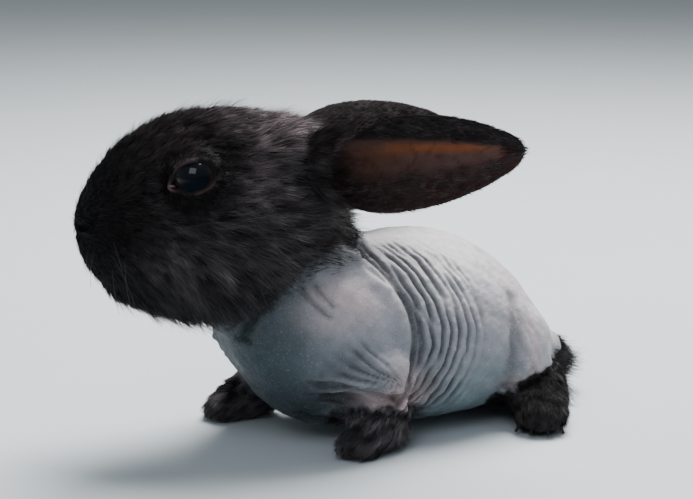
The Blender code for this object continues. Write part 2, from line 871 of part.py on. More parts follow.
def centre_over_floor(nodes):
    """Moves all so that the middle of the whole lies over the origin, and the feet on Z = 0."""
    points = np.array([v.co for thing in nodes.values() for v in thing.data.vertices])
    middle = (points.min(axis=0) + points.max(axis=0)) / 2
    shift = Matrix.Translation((-middle[0], -middle[1], -points[:, 2].min()))
    root = bpy.data.objects.new("rabbit", None)
    bpy.context.scene.collection.objects.link(root)
    for thing in nodes.values():
        place(thing, shift)
        thing.parent = root


def main():
    random.seed(SEED)
    clear_scene()
    whole = whole_body()
    skin = tree_of(whole)
    nodes = part_body(whole)
    for name, (side, reach, toe_out) in LEGS.items():
        nodes["ear_" + name] = set_ear(nodes, "ear_" + name, side)
        nodes["eye_" + name] = set_eye(nodes["head"], "eye_" + name, side)
    carve_face(nodes["head"])
    grow_coat(Coat(skin, nodes), nodes)
    paint_nodes(nodes)
    centre_over_floor(nodes)


main()
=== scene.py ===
# %% [markdown]
# A young hairless rabbit: the visual model
#
# The solids of the rabbit are loaded first, as a fixed frame. They give the places and the
# size of everything. The looks are then built around them: one skin with its folds, the lids
# and eyes, the ears, and a coat of fine blades on the head, ears, feet and tail.
# Sizes are in millimetres in the rabbit's own layout, and MM turns them into metres.

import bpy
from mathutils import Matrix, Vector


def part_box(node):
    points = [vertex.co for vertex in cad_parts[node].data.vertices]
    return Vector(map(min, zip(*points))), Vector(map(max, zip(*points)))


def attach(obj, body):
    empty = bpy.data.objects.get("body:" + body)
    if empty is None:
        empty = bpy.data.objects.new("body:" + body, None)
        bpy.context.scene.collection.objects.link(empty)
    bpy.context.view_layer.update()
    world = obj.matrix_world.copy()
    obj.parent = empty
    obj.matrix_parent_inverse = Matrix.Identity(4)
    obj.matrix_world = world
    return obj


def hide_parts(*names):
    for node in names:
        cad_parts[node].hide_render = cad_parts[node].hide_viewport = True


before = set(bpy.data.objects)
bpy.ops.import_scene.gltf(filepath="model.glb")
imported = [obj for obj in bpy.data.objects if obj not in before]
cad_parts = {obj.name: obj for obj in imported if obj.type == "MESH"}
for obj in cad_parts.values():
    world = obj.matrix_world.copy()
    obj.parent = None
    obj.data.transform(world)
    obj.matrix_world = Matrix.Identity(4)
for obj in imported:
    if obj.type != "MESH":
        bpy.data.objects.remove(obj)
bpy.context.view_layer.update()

# %% Tools and the seed
import math

import bmesh
import bpy
import numpy as np
from mathutils import Euler, Matrix, Vector
from mathutils.bvhtree import BVHTree
from mathutils.kdtree import KDTree

MM = 0.001

# %% [markdown]
# The layout was drawn with the feet near the origin, and the solids were then centred over
# the floor. The left eye is a ball whose centre is known in both, so it gives the offset
# between the two, and every size below can be written as it was drawn.

# %% The head's place and the offset
HEAD_CENTRE = np.array([-52.5, 2.0, 64.5])
HEAD_TURN = math.radians(-21)
EYE_RADIUS = 5.9
EYE_PLACE = np.array([-2.4, 14.0, 9.3])
turn_cos, turn_sin = math.cos(HEAD_TURN), math.sin(HEAD_TURN)
HEAD_AXES = np.array([[turn_cos, -turn_sin, 0], [turn_sin, turn_cos, 0], [0, 0, 1]])


def from_head(places):
    """Places in the head's own frame, moved to the rabbit's."""
    return np.asarray(places, float) @ HEAD_AXES.T + HEAD_CENTRE


def to_head(places):
    """Places in the rabbit's frame, seen from the head's own."""
    return (np.asarray(places, float) - HEAD_CENTRE) @ HEAD_AXES


def eye_middle(side):
    """The middle of an eye. side is -1 for the left one and 1 for the right one."""
    return from_head(EYE_PLACE * (1, side, 1))


eye_low, eye_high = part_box("eye_left")
OFFSET = np.array((eye_low + eye_high) / 2) / MM - eye_middle(-1)
print("offset of the layout in mm", OFFSET.round(2))


def metres(places):
    """Places in millimetres in the rabbit's layout, as metres in the frame."""
    return (np.asarray(places, float) + OFFSET) * MM


# %% [markdown]
# The camera stands low and to the left of the rabbit, about half a metre away, as a person
# crouching with a long lens would. The floor is a plain pale sheet. One broad light from above
# and behind stands for an overcast sky, and a weaker one in front fills the shadows.

# %% Camera
AZIMUTH, ELEVATION, DISTANCE = math.radians(-30), math.radians(12), 480
PIXEL = 0.27
WIDTH, HEIGHT = 693, 499
right = np.array([math.cos(AZIMUTH), math.sin(AZIMUTH), 0])
back = np.array(
    [
        math.sin(AZIMUTH) * math.cos(ELEVATION),
        -math.cos(AZIMUTH) * math.cos(ELEVATION),
        math.sin(ELEVATION),
    ]
)
up = np.cross(back, right)
# The place that the picture shows at the pixel (384, 335).
AIM, AIM_PIXEL = np.array([0, 0, 24]), (384, 335)
from_middle = right * (WIDTH / 2 - AIM_PIXEL[0]) * PIXEL + up * (AIM_PIXEL[1] - HEIGHT / 2) * PIXEL
camera = bpy.data.objects.new("camera", bpy.data.cameras.new("camera"))
bpy.context.scene.collection.objects.link(camera)
camera.data.sensor_width = 36
camera.data.lens = 36 * DISTANCE / (WIDTH * PIXEL)
camera.data.clip_start = 0.01
camera.data.clip_end = 20
camera.location = metres(AIM + from_middle + back * DISTANCE)
camera.rotation_euler = Matrix(np.array([right, up, back]).T.tolist()).to_euler()
bpy.context.scene.camera = camera
print("lens in mm", round(camera.data.lens, 1))


# %% Materials are node trees
def new_material(name, **values):
    """A material with one Principled shader, and its tree."""
    material = bpy.data.materials.new(name)
    material.use_nodes = True
    shader = material.node_tree.nodes["Principled BSDF"]
    for socket, value in values.items():
        shader.inputs[socket.replace("_", " ")].default_value = value
    return material, material.node_tree, shader


def fill(tree, made, values):
    """Sets or links sockets of a node. A node given as a value stands for its first output."""
    for socket, value in values.items():
        if isinstance(value, bpy.types.Node):
            value = value.outputs[0]
        if isinstance(value, bpy.types.NodeSocket):
            tree.links.new(value, made.inputs[socket])
        else:
            made.inputs[socket].default_value = value


def node(tree, kind, values=(), **settings):
    """A node with its settings, and with its sockets set or linked."""
    made = tree.nodes.new(kind)
    for name, value in settings.items():
        setattr(made, name, value)
    fill(tree, made, dict(values))
    return made


def maths(tree, operation, first, second):
    """The sum or product of two numbers."""
    return node(tree, "ShaderNodeMath", {0: first, 1: second}, operation=operation)


def mixed(tree, share, first, second):
    """A colour between two others, as a socket."""
    values = {0: share, 6: first, 7: second}
    return node(tree, "ShaderNodeMix", values, data_type="RGBA").outputs[2]


def shaded(tree, colour, value, low, high):
    """A colour made darker or lighter by a value from 0 to 1, from low to high times itself."""
    much = node(tree, "ShaderNodeMapRange", {"Value": value, "To Min": low, "To Max": high})
    return node(tree, "ShaderNodeVectorMath", {0: colour, "Scale": much}, operation="SCALE")


def stored(tree, name, output="Vector"):
    """What the mesh holds under a name, as a socket."""
    return node(tree, "ShaderNodeAttribute", attribute_name=name).outputs[output]


def shown(name, mesh, *materials):
    """An object in the scene for a mesh, with its materials."""
    thing = bpy.data.objects.new(name, mesh)
    bpy.context.scene.collection.objects.link(thing)
    for material in materials:
        thing.data.materials.append(material)
    return thing


def mesh_of(name, places, faces):
    """A mesh from places in millimetres in the layout."""
    mesh = bpy.data.meshes.new(name)
    mesh.from_pydata(metres(places).tolist(), [], faces)
    mesh.validate()
    return mesh


def count_triangles(mesh):
    """How many triangles the faces of a mesh make."""
    return sum(len(face.vertices) - 2 for face in mesh.polygons)


def face_outwards(mesh):
    """Turns the faces of a closed form outwards."""
    shape = bmesh.new()
    shape.from_mesh(mesh)
    bmesh.ops.recalc_face_normals(shape, faces=shape.faces)
    shape.to_mesh(mesh)
    shape.free()


# %% Floor and light
FLOOR_HALF = 3.0
floor_paper, tree, shader = new_material("floor_paper", Roughness=0.9)
speckle = node(tree, "ShaderNodeTexNoise", {"Scale": 90.0, "Detail": 3.0})
paper = mixed(tree, speckle, (0.62, 0.68, 0.71, 1), (0.67, 0.72, 0.75, 1))
fill(tree, shader, {"Base Color": paper})
sheet = bpy.data.meshes.new("floor")
corners = [(x * FLOOR_HALF, y * FLOOR_HALF, 0) for x, y in ((-1, -1), (1, -1), (1, 1), (-1, 1))]
sheet.from_pydata(corners, [], [(0, 1, 2, 3)])
floor = shown("floor", sheet, floor_paper)


def soft_light(name, place, size, power, colour):
    """A square lamp that looks at the rabbit's middle."""
    lamp = bpy.data.lights.new(name, "AREA")
    lamp.energy, lamp.size, lamp.color = power, size, colour
    thing = bpy.data.objects.new(name, lamp)
    bpy.context.scene.collection.objects.link(thing)
    thing.location = place
    toward = Vector(place) - Vector((0, 0, 0.04))
    thing.rotation_euler = toward.to_track_quat("Z", "Y").to_euler()


soft_light("sky", (0.26, 0.16, 0.80), 0.55, 18.0, (1.0, 0.98, 0.96))
soft_light("front_fill", (-0.46, -0.43, 0.61), 0.46, 1.9, (0.86, 0.92, 1.0))
world = bpy.data.worlds.new("pale_room")
world.use_nodes = True
sky = world.node_tree.nodes["Background"]
fill(world.node_tree, sky, {"Color": (0.80, 0.88, 0.93, 1), "Strength": 0.27})
bpy.context.scene.world = world

# %% [markdown]
# The body is one loose bag of skin over rounded masses. It could be sculpted by hand, but a
# body that is lofted through rings and joined by a voxel remesh can be repeated from a few
# sizes. These are the sizes of the solids, so the skin falls where they are.


# %% Lofting
def through(rows, count):
    """Evenly spaced rows on a smooth curve through the given rows."""
    rows = np.array(rows, float)
    ends = np.vstack([2 * rows[0] - rows[1], rows, 2 * rows[-1] - rows[-2]])
    made = []
    for at in np.linspace(0, len(rows) - 1, count):
        i = min(int(at), len(rows) - 2)
        t = at - i
        a, b, c, d = ends[i : i + 4]
        bend = 2 * a - 5 * b + 4 * c - d
        twist = 3 * b - a - 3 * c + d
        made.append(0.5 * (2 * b + (c - a) * t + bend * t**2 + twist * t**3))
    return np.array(made)


def wall(rings, sides, closed=True):
    """The faces between rings of equally many places."""
    faces = []
    for i in range(rings - 1):
        for j in range(sides if closed else sides - 1):
            k = (j + 1) % sides
            faces.append((i * sides + j, i * sides + k, (i + 1) * sides + k, (i + 1) * sides + j))
    return faces


def capped(rings):
    """Places and faces of a tube over rings, closed at both ends."""
    rings = np.array(rings, float)
    count, sides = rings.shape[:2]
    places = np.vstack([rings.reshape(-1, 3), rings[0].mean(0), rings[-1].mean(0)])
    faces = wall(count, sides)
    for first, middle in ((0, count * sides), ((count - 1) * sides, count * sides + 1)):
        for j in range(sides):
            faces.append((first + j, first + (j + 1) % sides, middle))
    return places, faces


def profile_form(rows, egg=0.0, square=1.0, count=40, sides=56):
    """A form lofted along X from rows of place, bottom, top and half width."""
    turn = np.linspace(0, 2 * math.pi, sides, endpoint=False)
    rings = []
    for x, bottom, top, half in through(rows, count):
        across, rise = np.cos(turn), np.sin(turn)
        low = rise < 0
        across = np.where(low, np.sign(across) * np.abs(across) ** square, across)
        rise = np.where(low, -(np.abs(rise) ** square), rise)
        y = half * (1 - egg * rise) * across
        z = (bottom + top) / 2 + (top - bottom) / 2 * rise
        rings.append(np.column_stack([np.full(sides, x), y, z]))
    return capped(rings)


def limb_form(joints, count=20, sides=28):
    """A limb lofted through joints, each a place and two radii."""
    rows = through(joints, count)
    turn = np.linspace(0, 2 * math.pi, sides, endpoint=False)[:, None]
    rings = []
    for i, (x, y, z, across, thick) in enumerate(rows):
        along = rows[min(i + 1, count - 1), :3] - rows[max(i - 1, 0), :3]
        along = along / np.linalg.norm(along)
        side = np.array([0, 1, 0]) - along * along[1]
        side = side / np.linalg.norm(side)
        rise = np.cross(along, side)
        ring = (x, y, z) + side * across * np.cos(turn) + rise * thick * np.sin(turn)
        rings.append(ring)
    return capped(rings)


def egg_form(centre, radii, turn=(0, 0, 0), count=18, sides=28):
    """An ellipsoid, turned by angles in degrees."""
    spin = np.array(Euler([math.radians(a) for a in turn]).to_matrix())
    rings = []
    for lean in np.linspace(-0.495 * math.pi, 0.495 * math.pi, count):
        around = np.linspace(0, 2 * math.pi, sides, endpoint=False)
        ring = np.column_stack(
            [
                np.cos(lean) * np.cos(around),
                np.cos(lean) * np.sin(around),
                np.full(sides, math.sin(lean)),
            ]
        )
        rings.append((ring * radii) @ spin.T + centre)
    return capped(rings)


# %% The sizes of the body
TORSO_PROFILE = (
    (-48, 29, 36, 5),
    (-45, 23, 41, 10.5),
    (-40, 16, 45, 15.5),
    (-35, 9.5, 47.5, 18.5),
    (-28, 5.5, 49.5, 21.5),
    (-17, 2.8, 51.5, 24),
    (-3, 2.0, 52.5, 26),
    (12, 2.0, 52.5, 27.5),
    (25, 2.5, 48, 25.5),
    (35, 4, 40.5, 21.5),
    (42.5, 7, 31, 15.5),
    (46.5, 12, 23, 8),
)
HEAD_PROFILE = (
    (-32, -8, -1.5, 3.5),
    (-30.7, -12.5, 3.2, 7),
    (-27.7, -17.6, 8.4, 9.5),
    (-23, -21.5, 14, 12),
    (-18, -24.3, 18, 14.6),
    (-11.6, -26, 21.6, 17),
    (-5, -26.6, 23.6, 19),
    (2.5, -26.4, 24.4, 20.5),
    (10, -25, 24.2, 20.6),
    (18, -21, 22.0, 19),
    (25.5, -14, 18, 15.5),
    (31, -5, 12.5, 8.5),
)
# Side of the body, how far the forefoot reaches forwards, and how far the hind toes turn out.
LEGS = {"left": (-1, 0.0, 52), "right": (1, 15.0, 40)}
# The heel's height above the floor is given where it is used.
HEEL_X, HEEL_Y = 45.5, 11
# Place ahead of the heel, height and radii of the forms of a hind foot.
HINDFOOT_EGGS = ((2, 7, (8.5, 8, 7.5)), (12, 6.5, (11, 8.5, 7.5)), (22, 5, (9.5, 9, 6.5)))


def head_forms():
    """The skull, muzzle, cheeks, brows, crown, nose and chin."""
    forms = [profile_form(HEAD_PROFILE, egg=0.10)]
    for side in (-1, 1):
        forms.append(egg_form((-23.5, side * 5, -8.5), (7.5, 6.5, 7.5)))
        forms.append(egg_form((5, side * 10.5, -11), (17, 11, 14)))
        forms.append(egg_form((-2.5, side * 12, 12.5), (10, 5.5, 5.5)))
        forms.append(egg_form((18, side * 9, 11.6), (11.5, 8.5, 9.5)))
    forms.append(egg_form((-29, 0, -4), (3.4, 5.0, 4.2)))
    forms.append(egg_form((-17.5, 0, -19), (8, 7, 6)))
    return [(from_head(places), faces) for places, faces in forms]


def foreleg_forms(side, reach):
    """The shoulder, upper arm and forearm, which follow the reach of the forefoot."""
    shoulder = (-21 - 0.3 * reach, side * 16, 30)
    arm = (
        (-29 - 0.2 * reach, side * 17, 24, 8, 8.5),
        (-19 - 0.5 * reach, side * 21, 22, 7.5, 8),
        (-9.5 - 0.7 * reach, side * 22, 20, 5.5, 6.5),
    )
    forearm = (
        (-9 - 0.7 * reach, side * 22, 20.5, 5.2, 5.6),
        (-12 - 0.9 * reach, side * 21.8, 15.5, 5.2, 5.4),
        (-14.5 - reach, side * 21, 10, 5.2, 5.4),
        (-15.5 - reach, side * 21, 6, 5.4, 5.6),
    )
    return [
        egg_form(shoulder, (18, 10, 17.5), turn=(0, 18, 0)),
        limb_form(arm),
        limb_form(forearm),
    ]


def forefoot_forms(side, reach):
    """The paw, its toes and the wrist."""
    x = -14 - reach
    y = side * 21.5
    turn = (0, 0, side * -12)
    return [
        egg_form((x, y, 6.5), (10.5, 8, 7.5), turn=turn),
        egg_form((x - 6.5, y + side * 1.5, 3.5), (8, 7.5, 5.5), turn=turn),
        egg_form((x + 2, y, 9.5), (7.5, 7, 6)),
    ]


def haunch_forms(side):
    """The thigh and the shin."""
    shin = (
        (24, side * 18, 13, 8, 8),
        (34, side * 17.5, 10, 7, 7),
        (43, side * 15, 8, 6, 6),
    )
    thigh = egg_form((28.5, side * 14.5, 19.5), (15, 11.5, 15), turn=(0, -20, 0))
    return [thigh, limb_form(shin)]


def toes_ahead(side, toe_out):
    """The way that the hind toes point."""
    turn = math.radians(toe_out)
    return np.array([-math.cos(turn), side * math.sin(turn), 0])


def heel_at(side, height=0.0):
    """The place of a heel, or the place at a height over it."""
    return np.array([HEEL_X, side * HEEL_Y, height])


def hindfoot_forms(side, toe_out):
    """A long hind foot, from heel to toes."""
    forms = []
    for along, height, radii in HINDFOOT_EGGS:
        middle = heel_at(side) + toes_ahead(side, toe_out) * along + (0, 0, height)
        forms.append(egg_form(middle, radii, turn=(0, 0, side * -toe_out)))
    return forms


# %% The body in one piece
def joined(name, forms):
    """One mesh of many closed forms, which still overlap."""
    places, faces, first = [], [], 0
    for form_places, form_faces in forms:
        places.append(form_places)
        faces += [tuple(i + first for i in face) for face in form_faces]
        first += len(form_places)
    return mesh_of(name, np.vstack(places), faces)


def applied(thing):
    """The thing with its modifiers' result as its mesh."""
    bpy.context.view_layer.update()
    graph = bpy.context.evaluated_depsgraph_get()
    result = bpy.data.meshes.new_from_object(
        thing.evaluated_get(graph), preserve_all_data_layers=True, depsgraph=graph
    )
    thing.modifiers.clear()
    thing.data = result
    return thing


VOXEL = 1.25
# How low the skin and the blades may reach.
SKIN_FLOOR, SPINE_FLOOR, BLADE_FLOOR = 0.35, 0.2, 0.15
NECK_JOINTS = (
    (-14, 0, 32, 20, 19),
    (-25, 0, 40, 20, 21),
    (-36, 0.5, 49, 19, 22),
    (-45, 1, 58, 18, 21.5),
    (-51, 2, 64, 16, 19),
)
TAIL_JOINTS = (
    (39, 0, 15, 6, 7),
    (45, 0, 14.5, 6.5, 7),
    (51, 0, 12.5, 7, 7.5),
    (56, 0, 10, 5.5, 6.5),
    (59, 0, 8, 3, 4),
)
forms = [profile_form(TORSO_PROFILE, square=0.8), limb_form(NECK_JOINTS, sides=40)]
forms += head_forms() + [limb_form(TAIL_JOINTS)]
for side, reach, toe_out in LEGS.values():
    forms += foreleg_forms(side, reach) + forefoot_forms(side, reach)
    forms += haunch_forms(side) + hindfoot_forms(side, toe_out)
skin = shown("skin", joined("skin", forms))
bag = skin.modifiers.new("bag", "REMESH")
bag.mode = "VOXEL"
bag.voxel_size = VOXEL * MM
soften = skin.modifiers.new("soften", "SMOOTH")
soften.factor = 0.5
soften.iterations = 10
applied(skin)
print("skin faces before folding", len(skin.data.polygons))

# %% [markdown]
# The coat ends in a soft line across the neck, at the wrists and ankles, and round the tail.
# One number for each place on the skin says how furred it is, from 0 on the bald skin to 1
# under the full coat. The same number later sets the depth of the skin under the coat, its
# colour, and how many blades grow there, so that skin and coat can't disagree.


# %% Where the coat is
def smooth_step(value, low, high):
    """0 below low and 1 above high, with a soft start and end between them."""
    t = np.clip((value - low) / (high - low), 0, 1)
    return t * t * (3 - 2 * t)


def hump(value, start, full, turn, end):
    """1 between full and turn, and 0 before start and after end."""
    return smooth_step(value, start, full) * (1 - smooth_step(value, turn, end))


def bell(value, middle, width):
    """1 at the middle, and nearly 0 two widths from it."""
    return np.exp(-(((value - middle) / width) ** 2))


def norm(vectors):
    """The length of each vector."""
    return np.linalg.norm(vectors, axis=1)


def unit(vectors):
    """The vectors, each one long."""
    length = np.linalg.norm(vectors, axis=-1, keepdims=True)
    return vectors / np.maximum(length, 1e-9)


def egg_reach(places, centre, radii, turn=0.0):
    """How far inside an egg the places are, in mm, roughly. turn is in degrees about Z."""
    a = math.radians(turn)
    local = (places - np.array(centre)) @ np.array(
        [[math.cos(a), -math.sin(a), 0], [math.sin(a), math.cos(a), 0], [0, 0, 1]]
    )
    size = norm(local / radii)
    return (1 - size) * min(radii)


def waver(places, scale, seed, waves=9):
    """Soft noise from -1 to 1, made of plane waves about as long as the scale."""
    own = np.random.default_rng(seed)
    total = np.zeros(len(places))
    for _ in range(waves):
        way = own.normal(size=3)
        way = way / np.linalg.norm(way) * own.uniform(0.6, 1.5) / scale
        total += np.sin(2 * math.pi * (places @ way) + own.uniform(0, 2 * math.pi))
    return total / math.sqrt(waves / 2) * 0.6


# The edge of the coat across the neck, seen from the side, as x and z from the throat upwards.
COAT_EDGE = (
    (-62, 33), (-54.6, 39.6), (-49.5, 44), (-43.2, 48),
    (-36.2, 51.8), (-26.5, 55), (-18, 56.5), (-13, 64.5),
)
# How high the coat of the left and the right forefoot reaches.
CUFF_HEIGHT = {-1: 12.8, 1: 10.5}


def past_line(places, line):
    """Distance from a line of x and z seen from the side, positive on the line's left."""
    flat, line = places[:, [0, 2]], np.array(line, float)
    found = np.full(len(flat), 1e9)
    for a, b in zip(line[:-1], line[1:]):
        run = b - a
        t = np.clip((flat - a) @ run / (run @ run), 0, 1)
        gap = flat - (a + t[:, None] * run)
        side = np.sign(run[0] * gap[:, 1] - run[1] * gap[:, 0])
        reach = norm(gap)
        found = np.where(reach < np.abs(found), side * reach, found)
    return found


def furred(places):
    """From 0 on bald skin to 1 under the full coat."""
    rough = 1.2 * waver(places, 9, 1) + 0.7 * waver(places, 3.5, 2)
    found = smooth_step(past_line(places, COAT_EDGE) - 2.8 + rough, -3.5, 3.5)
    tail = egg_reach(places, (56, 0, 3.5), (11, 10, 14))
    found = np.maximum(found, smooth_step(tail + 0.6 * rough, -1.0, 3.0))
    for side, reach, toe_out in LEGS.values():
        paw = (-16 - reach, side * 23.5, 0)
        front = egg_reach(places, paw, (22, 16, CUFF_HEIGHT[side]))
        middle = heel_at(side) + toes_ahead(side, toe_out) * 10
        hind = egg_reach(places, middle, (29, 18, 15.2), turn=side * -toe_out)
        found = np.maximum(found, smooth_step(front + 0.6 * rough, -1.5, 2.5))
        found = np.maximum(found, smooth_step(hind + 0.5 * rough, -1.5, 2.5))
    return found


# %% The places round the shoulder
def shoulder_middle(places):
    """The middle of the nearer shoulder, as x and z."""
    left, far = LEGS["left"][1], LEGS["right"][1]
    share = 0.5 + 0.5 * np.tanh(places[:, 1] / 8)
    return -26 - 0.3 * (left + (far - left) * share), 30.0


def from_shoulder(places):
    """Distance from the shoulder's middle seen from the side, and the angle round it."""
    x, z = shoulder_middle(places)
    rise = places[:, 2] - z
    rise = np.where(rise > 0, rise / 1.3, rise)
    return np.hypot(places[:, 0] - x, rise), np.arctan2(rise, places[:, 0] - x)


# %% Reading and writing a mesh as arrays
def places_of(mesh):
    """The places of a mesh, in millimetres in the layout."""
    found = np.zeros(len(mesh.vertices) * 3)
    mesh.vertices.foreach_get("co", found)
    return found.reshape(-1, 3) / MM - OFFSET


def normals_of(mesh):
    """The normals of a mesh at its places."""
    found = np.zeros(len(mesh.vertices) * 3)
    mesh.vertices.foreach_get("normal", found)
    return found.reshape(-1, 3)


def triangles_of(mesh):
    """Rows of three indices of places, one for each triangle."""
    mesh.calc_loop_triangles()
    found = np.zeros(len(mesh.loop_triangles) * 3, np.int64)
    mesh.loop_triangles.foreach_get("vertices", found)
    return found.reshape(-1, 3)


def put_places(mesh, places):
    """Moves the mesh to places in millimetres in the layout."""
    mesh.vertices.foreach_set("co", metres(places).ravel())
    mesh.update()


def refine(mesh, wanted):
    """Halves the edges between two wanted places."""
    shape = bmesh.new()
    shape.from_mesh(mesh)
    shape.verts.ensure_lookup_table()
    edges = [e for e in shape.edges if wanted[e.verts[0].index] and wanted[e.verts[1].index]]
    bmesh.ops.subdivide_edges(shape, edges=edges, cuts=1, use_grid_fill=True)
    shape.to_mesh(mesh)
    shape.free()


def soften_where(mesh, weight, rounds):
    """Moves each place towards the middle of its neighbours, by its weight."""
    ends = np.zeros(len(mesh.edges) * 2, np.int64)
    mesh.edges.foreach_get("vertices", ends)
    ends = ends.reshape(-1, 2)
    places = places_of(mesh)
    count = np.bincount(ends.ravel(), minlength=len(places))[:, None]
    for _ in range(rounds):
        total = np.zeros_like(places)
        for axis in range(3):
            total[:, axis] += np.bincount(ends[:, 0], places[ends[:, 1], axis], len(places))
            total[:, axis] += np.bincount(ends[:, 1], places[ends[:, 0], axis], len(places))
        places += (total / np.maximum(count, 1) - places) * weight[:, None]
    put_places(mesh, places)


# %% A finer skin where it is bald, at the eyes and on the nose
def face_detail(places, nose_reach, eye_reach):
    """Whether the places are near the nose or an eye."""
    local = to_head(places)
    near = norm(local - (-31, 0, -6)) < nose_reach
    for side in (-1, 1):
        near |= norm(local - EYE_PLACE * (1, side, 1)) < eye_reach
    return near


def fill_hollows(mesh, weight, rounds):
    """Raises the hollows between forms to where a much softer skin would be."""
    before, normals = places_of(mesh), normals_of(mesh)
    soften_where(mesh, weight, rounds)
    rise = np.clip(((places_of(mesh) - before) * normals).sum(1), 0, None)
    put_places(mesh, before + normals * rise[:, None])


places = places_of(skin.data)
behind_face = smooth_step(to_head(places)[:, 0], -6, 4)
behind_face *= smooth_step(past_line(places, COAT_EDGE), -13, -5)
fill_hollows(skin.data, 0.5 * behind_face, 420)
places = places_of(skin.data)
bald = (furred(places) < 0.6) & (normals_of(skin.data)[:, 2] > -0.8)
refine(skin.data, bald | face_detail(places, 10, 11.5))
places = places_of(skin.data)
reach, angle = from_shoulder(places)
folded = (furred(places) < 0.4) & (np.abs(places[:, 1]) > 8) & (places[:, 2] > 7)
near_shoulder = (reach > 17) & (reach < np.where(places[:, 1] < 0, 40, 32))
folded &= near_shoulder & (angle > -1.7) & (places[:, 0] > -20)
refine(skin.data, folded | face_detail(places, 8.5, 9.5))
soften_where(skin.data, np.where(furred(places_of(skin.data)) < 0.6, 0.5, 0.35), 5)
print("skin triangles", count_triangles(skin.data))

# %% [markdown]
# Folds of loose skin run in arcs round the shoulder, because the skin slides there as the
# foreleg moves. They are a few millimetres apart, branch and fade, and their valleys are
# narrower than their ridges. A single wave would look combed, so several waves of nearly the
# same spacing are added. Where they cancel out, a fold ends or forks, as on the real skin.


# %% Branching folds
def folds(across, along, seed, loose=0.10, wander=0.8, waves=7, sharp=1.7):
    """Ridges from 0 to 1 and their strength. across counts the folds, along runs with them."""
    own = np.random.default_rng(seed)
    total = np.zeros(len(across), complex)
    for _ in range(waves):
        beat = across * (1 + own.normal(0, loose)) + along * own.normal(0, wander)
        total += np.exp(2j * math.pi * (beat + own.uniform(-0.2, 0.2)))
    total /= math.sqrt(waves)
    ridge = 1 - ((1 - np.cos(np.angle(total))) / 2) ** sharp
    return ridge, np.clip(np.abs(total) / 0.75, 0, 1)


def blot(places, middle, radii):
    """1 in the middle of a soft blot and 0 outside it."""
    return np.exp(-(((places - np.array(middle)) / radii) ** 2).sum(1))


def near_line(places, line, width):
    """1 on a line through the given places and 0 a few widths away."""
    line = through(line, 40)
    best = np.full(len(places), 1e9)
    for a, b in zip(line[:-1], line[1:]):
        run = b - a
        t = np.clip((places - a) @ run / (run @ run), 0, 1)
        gap = norm(places - (a + t[:, None] * run))
        best = np.minimum(best, gap)
    return bell(best, 0, width)


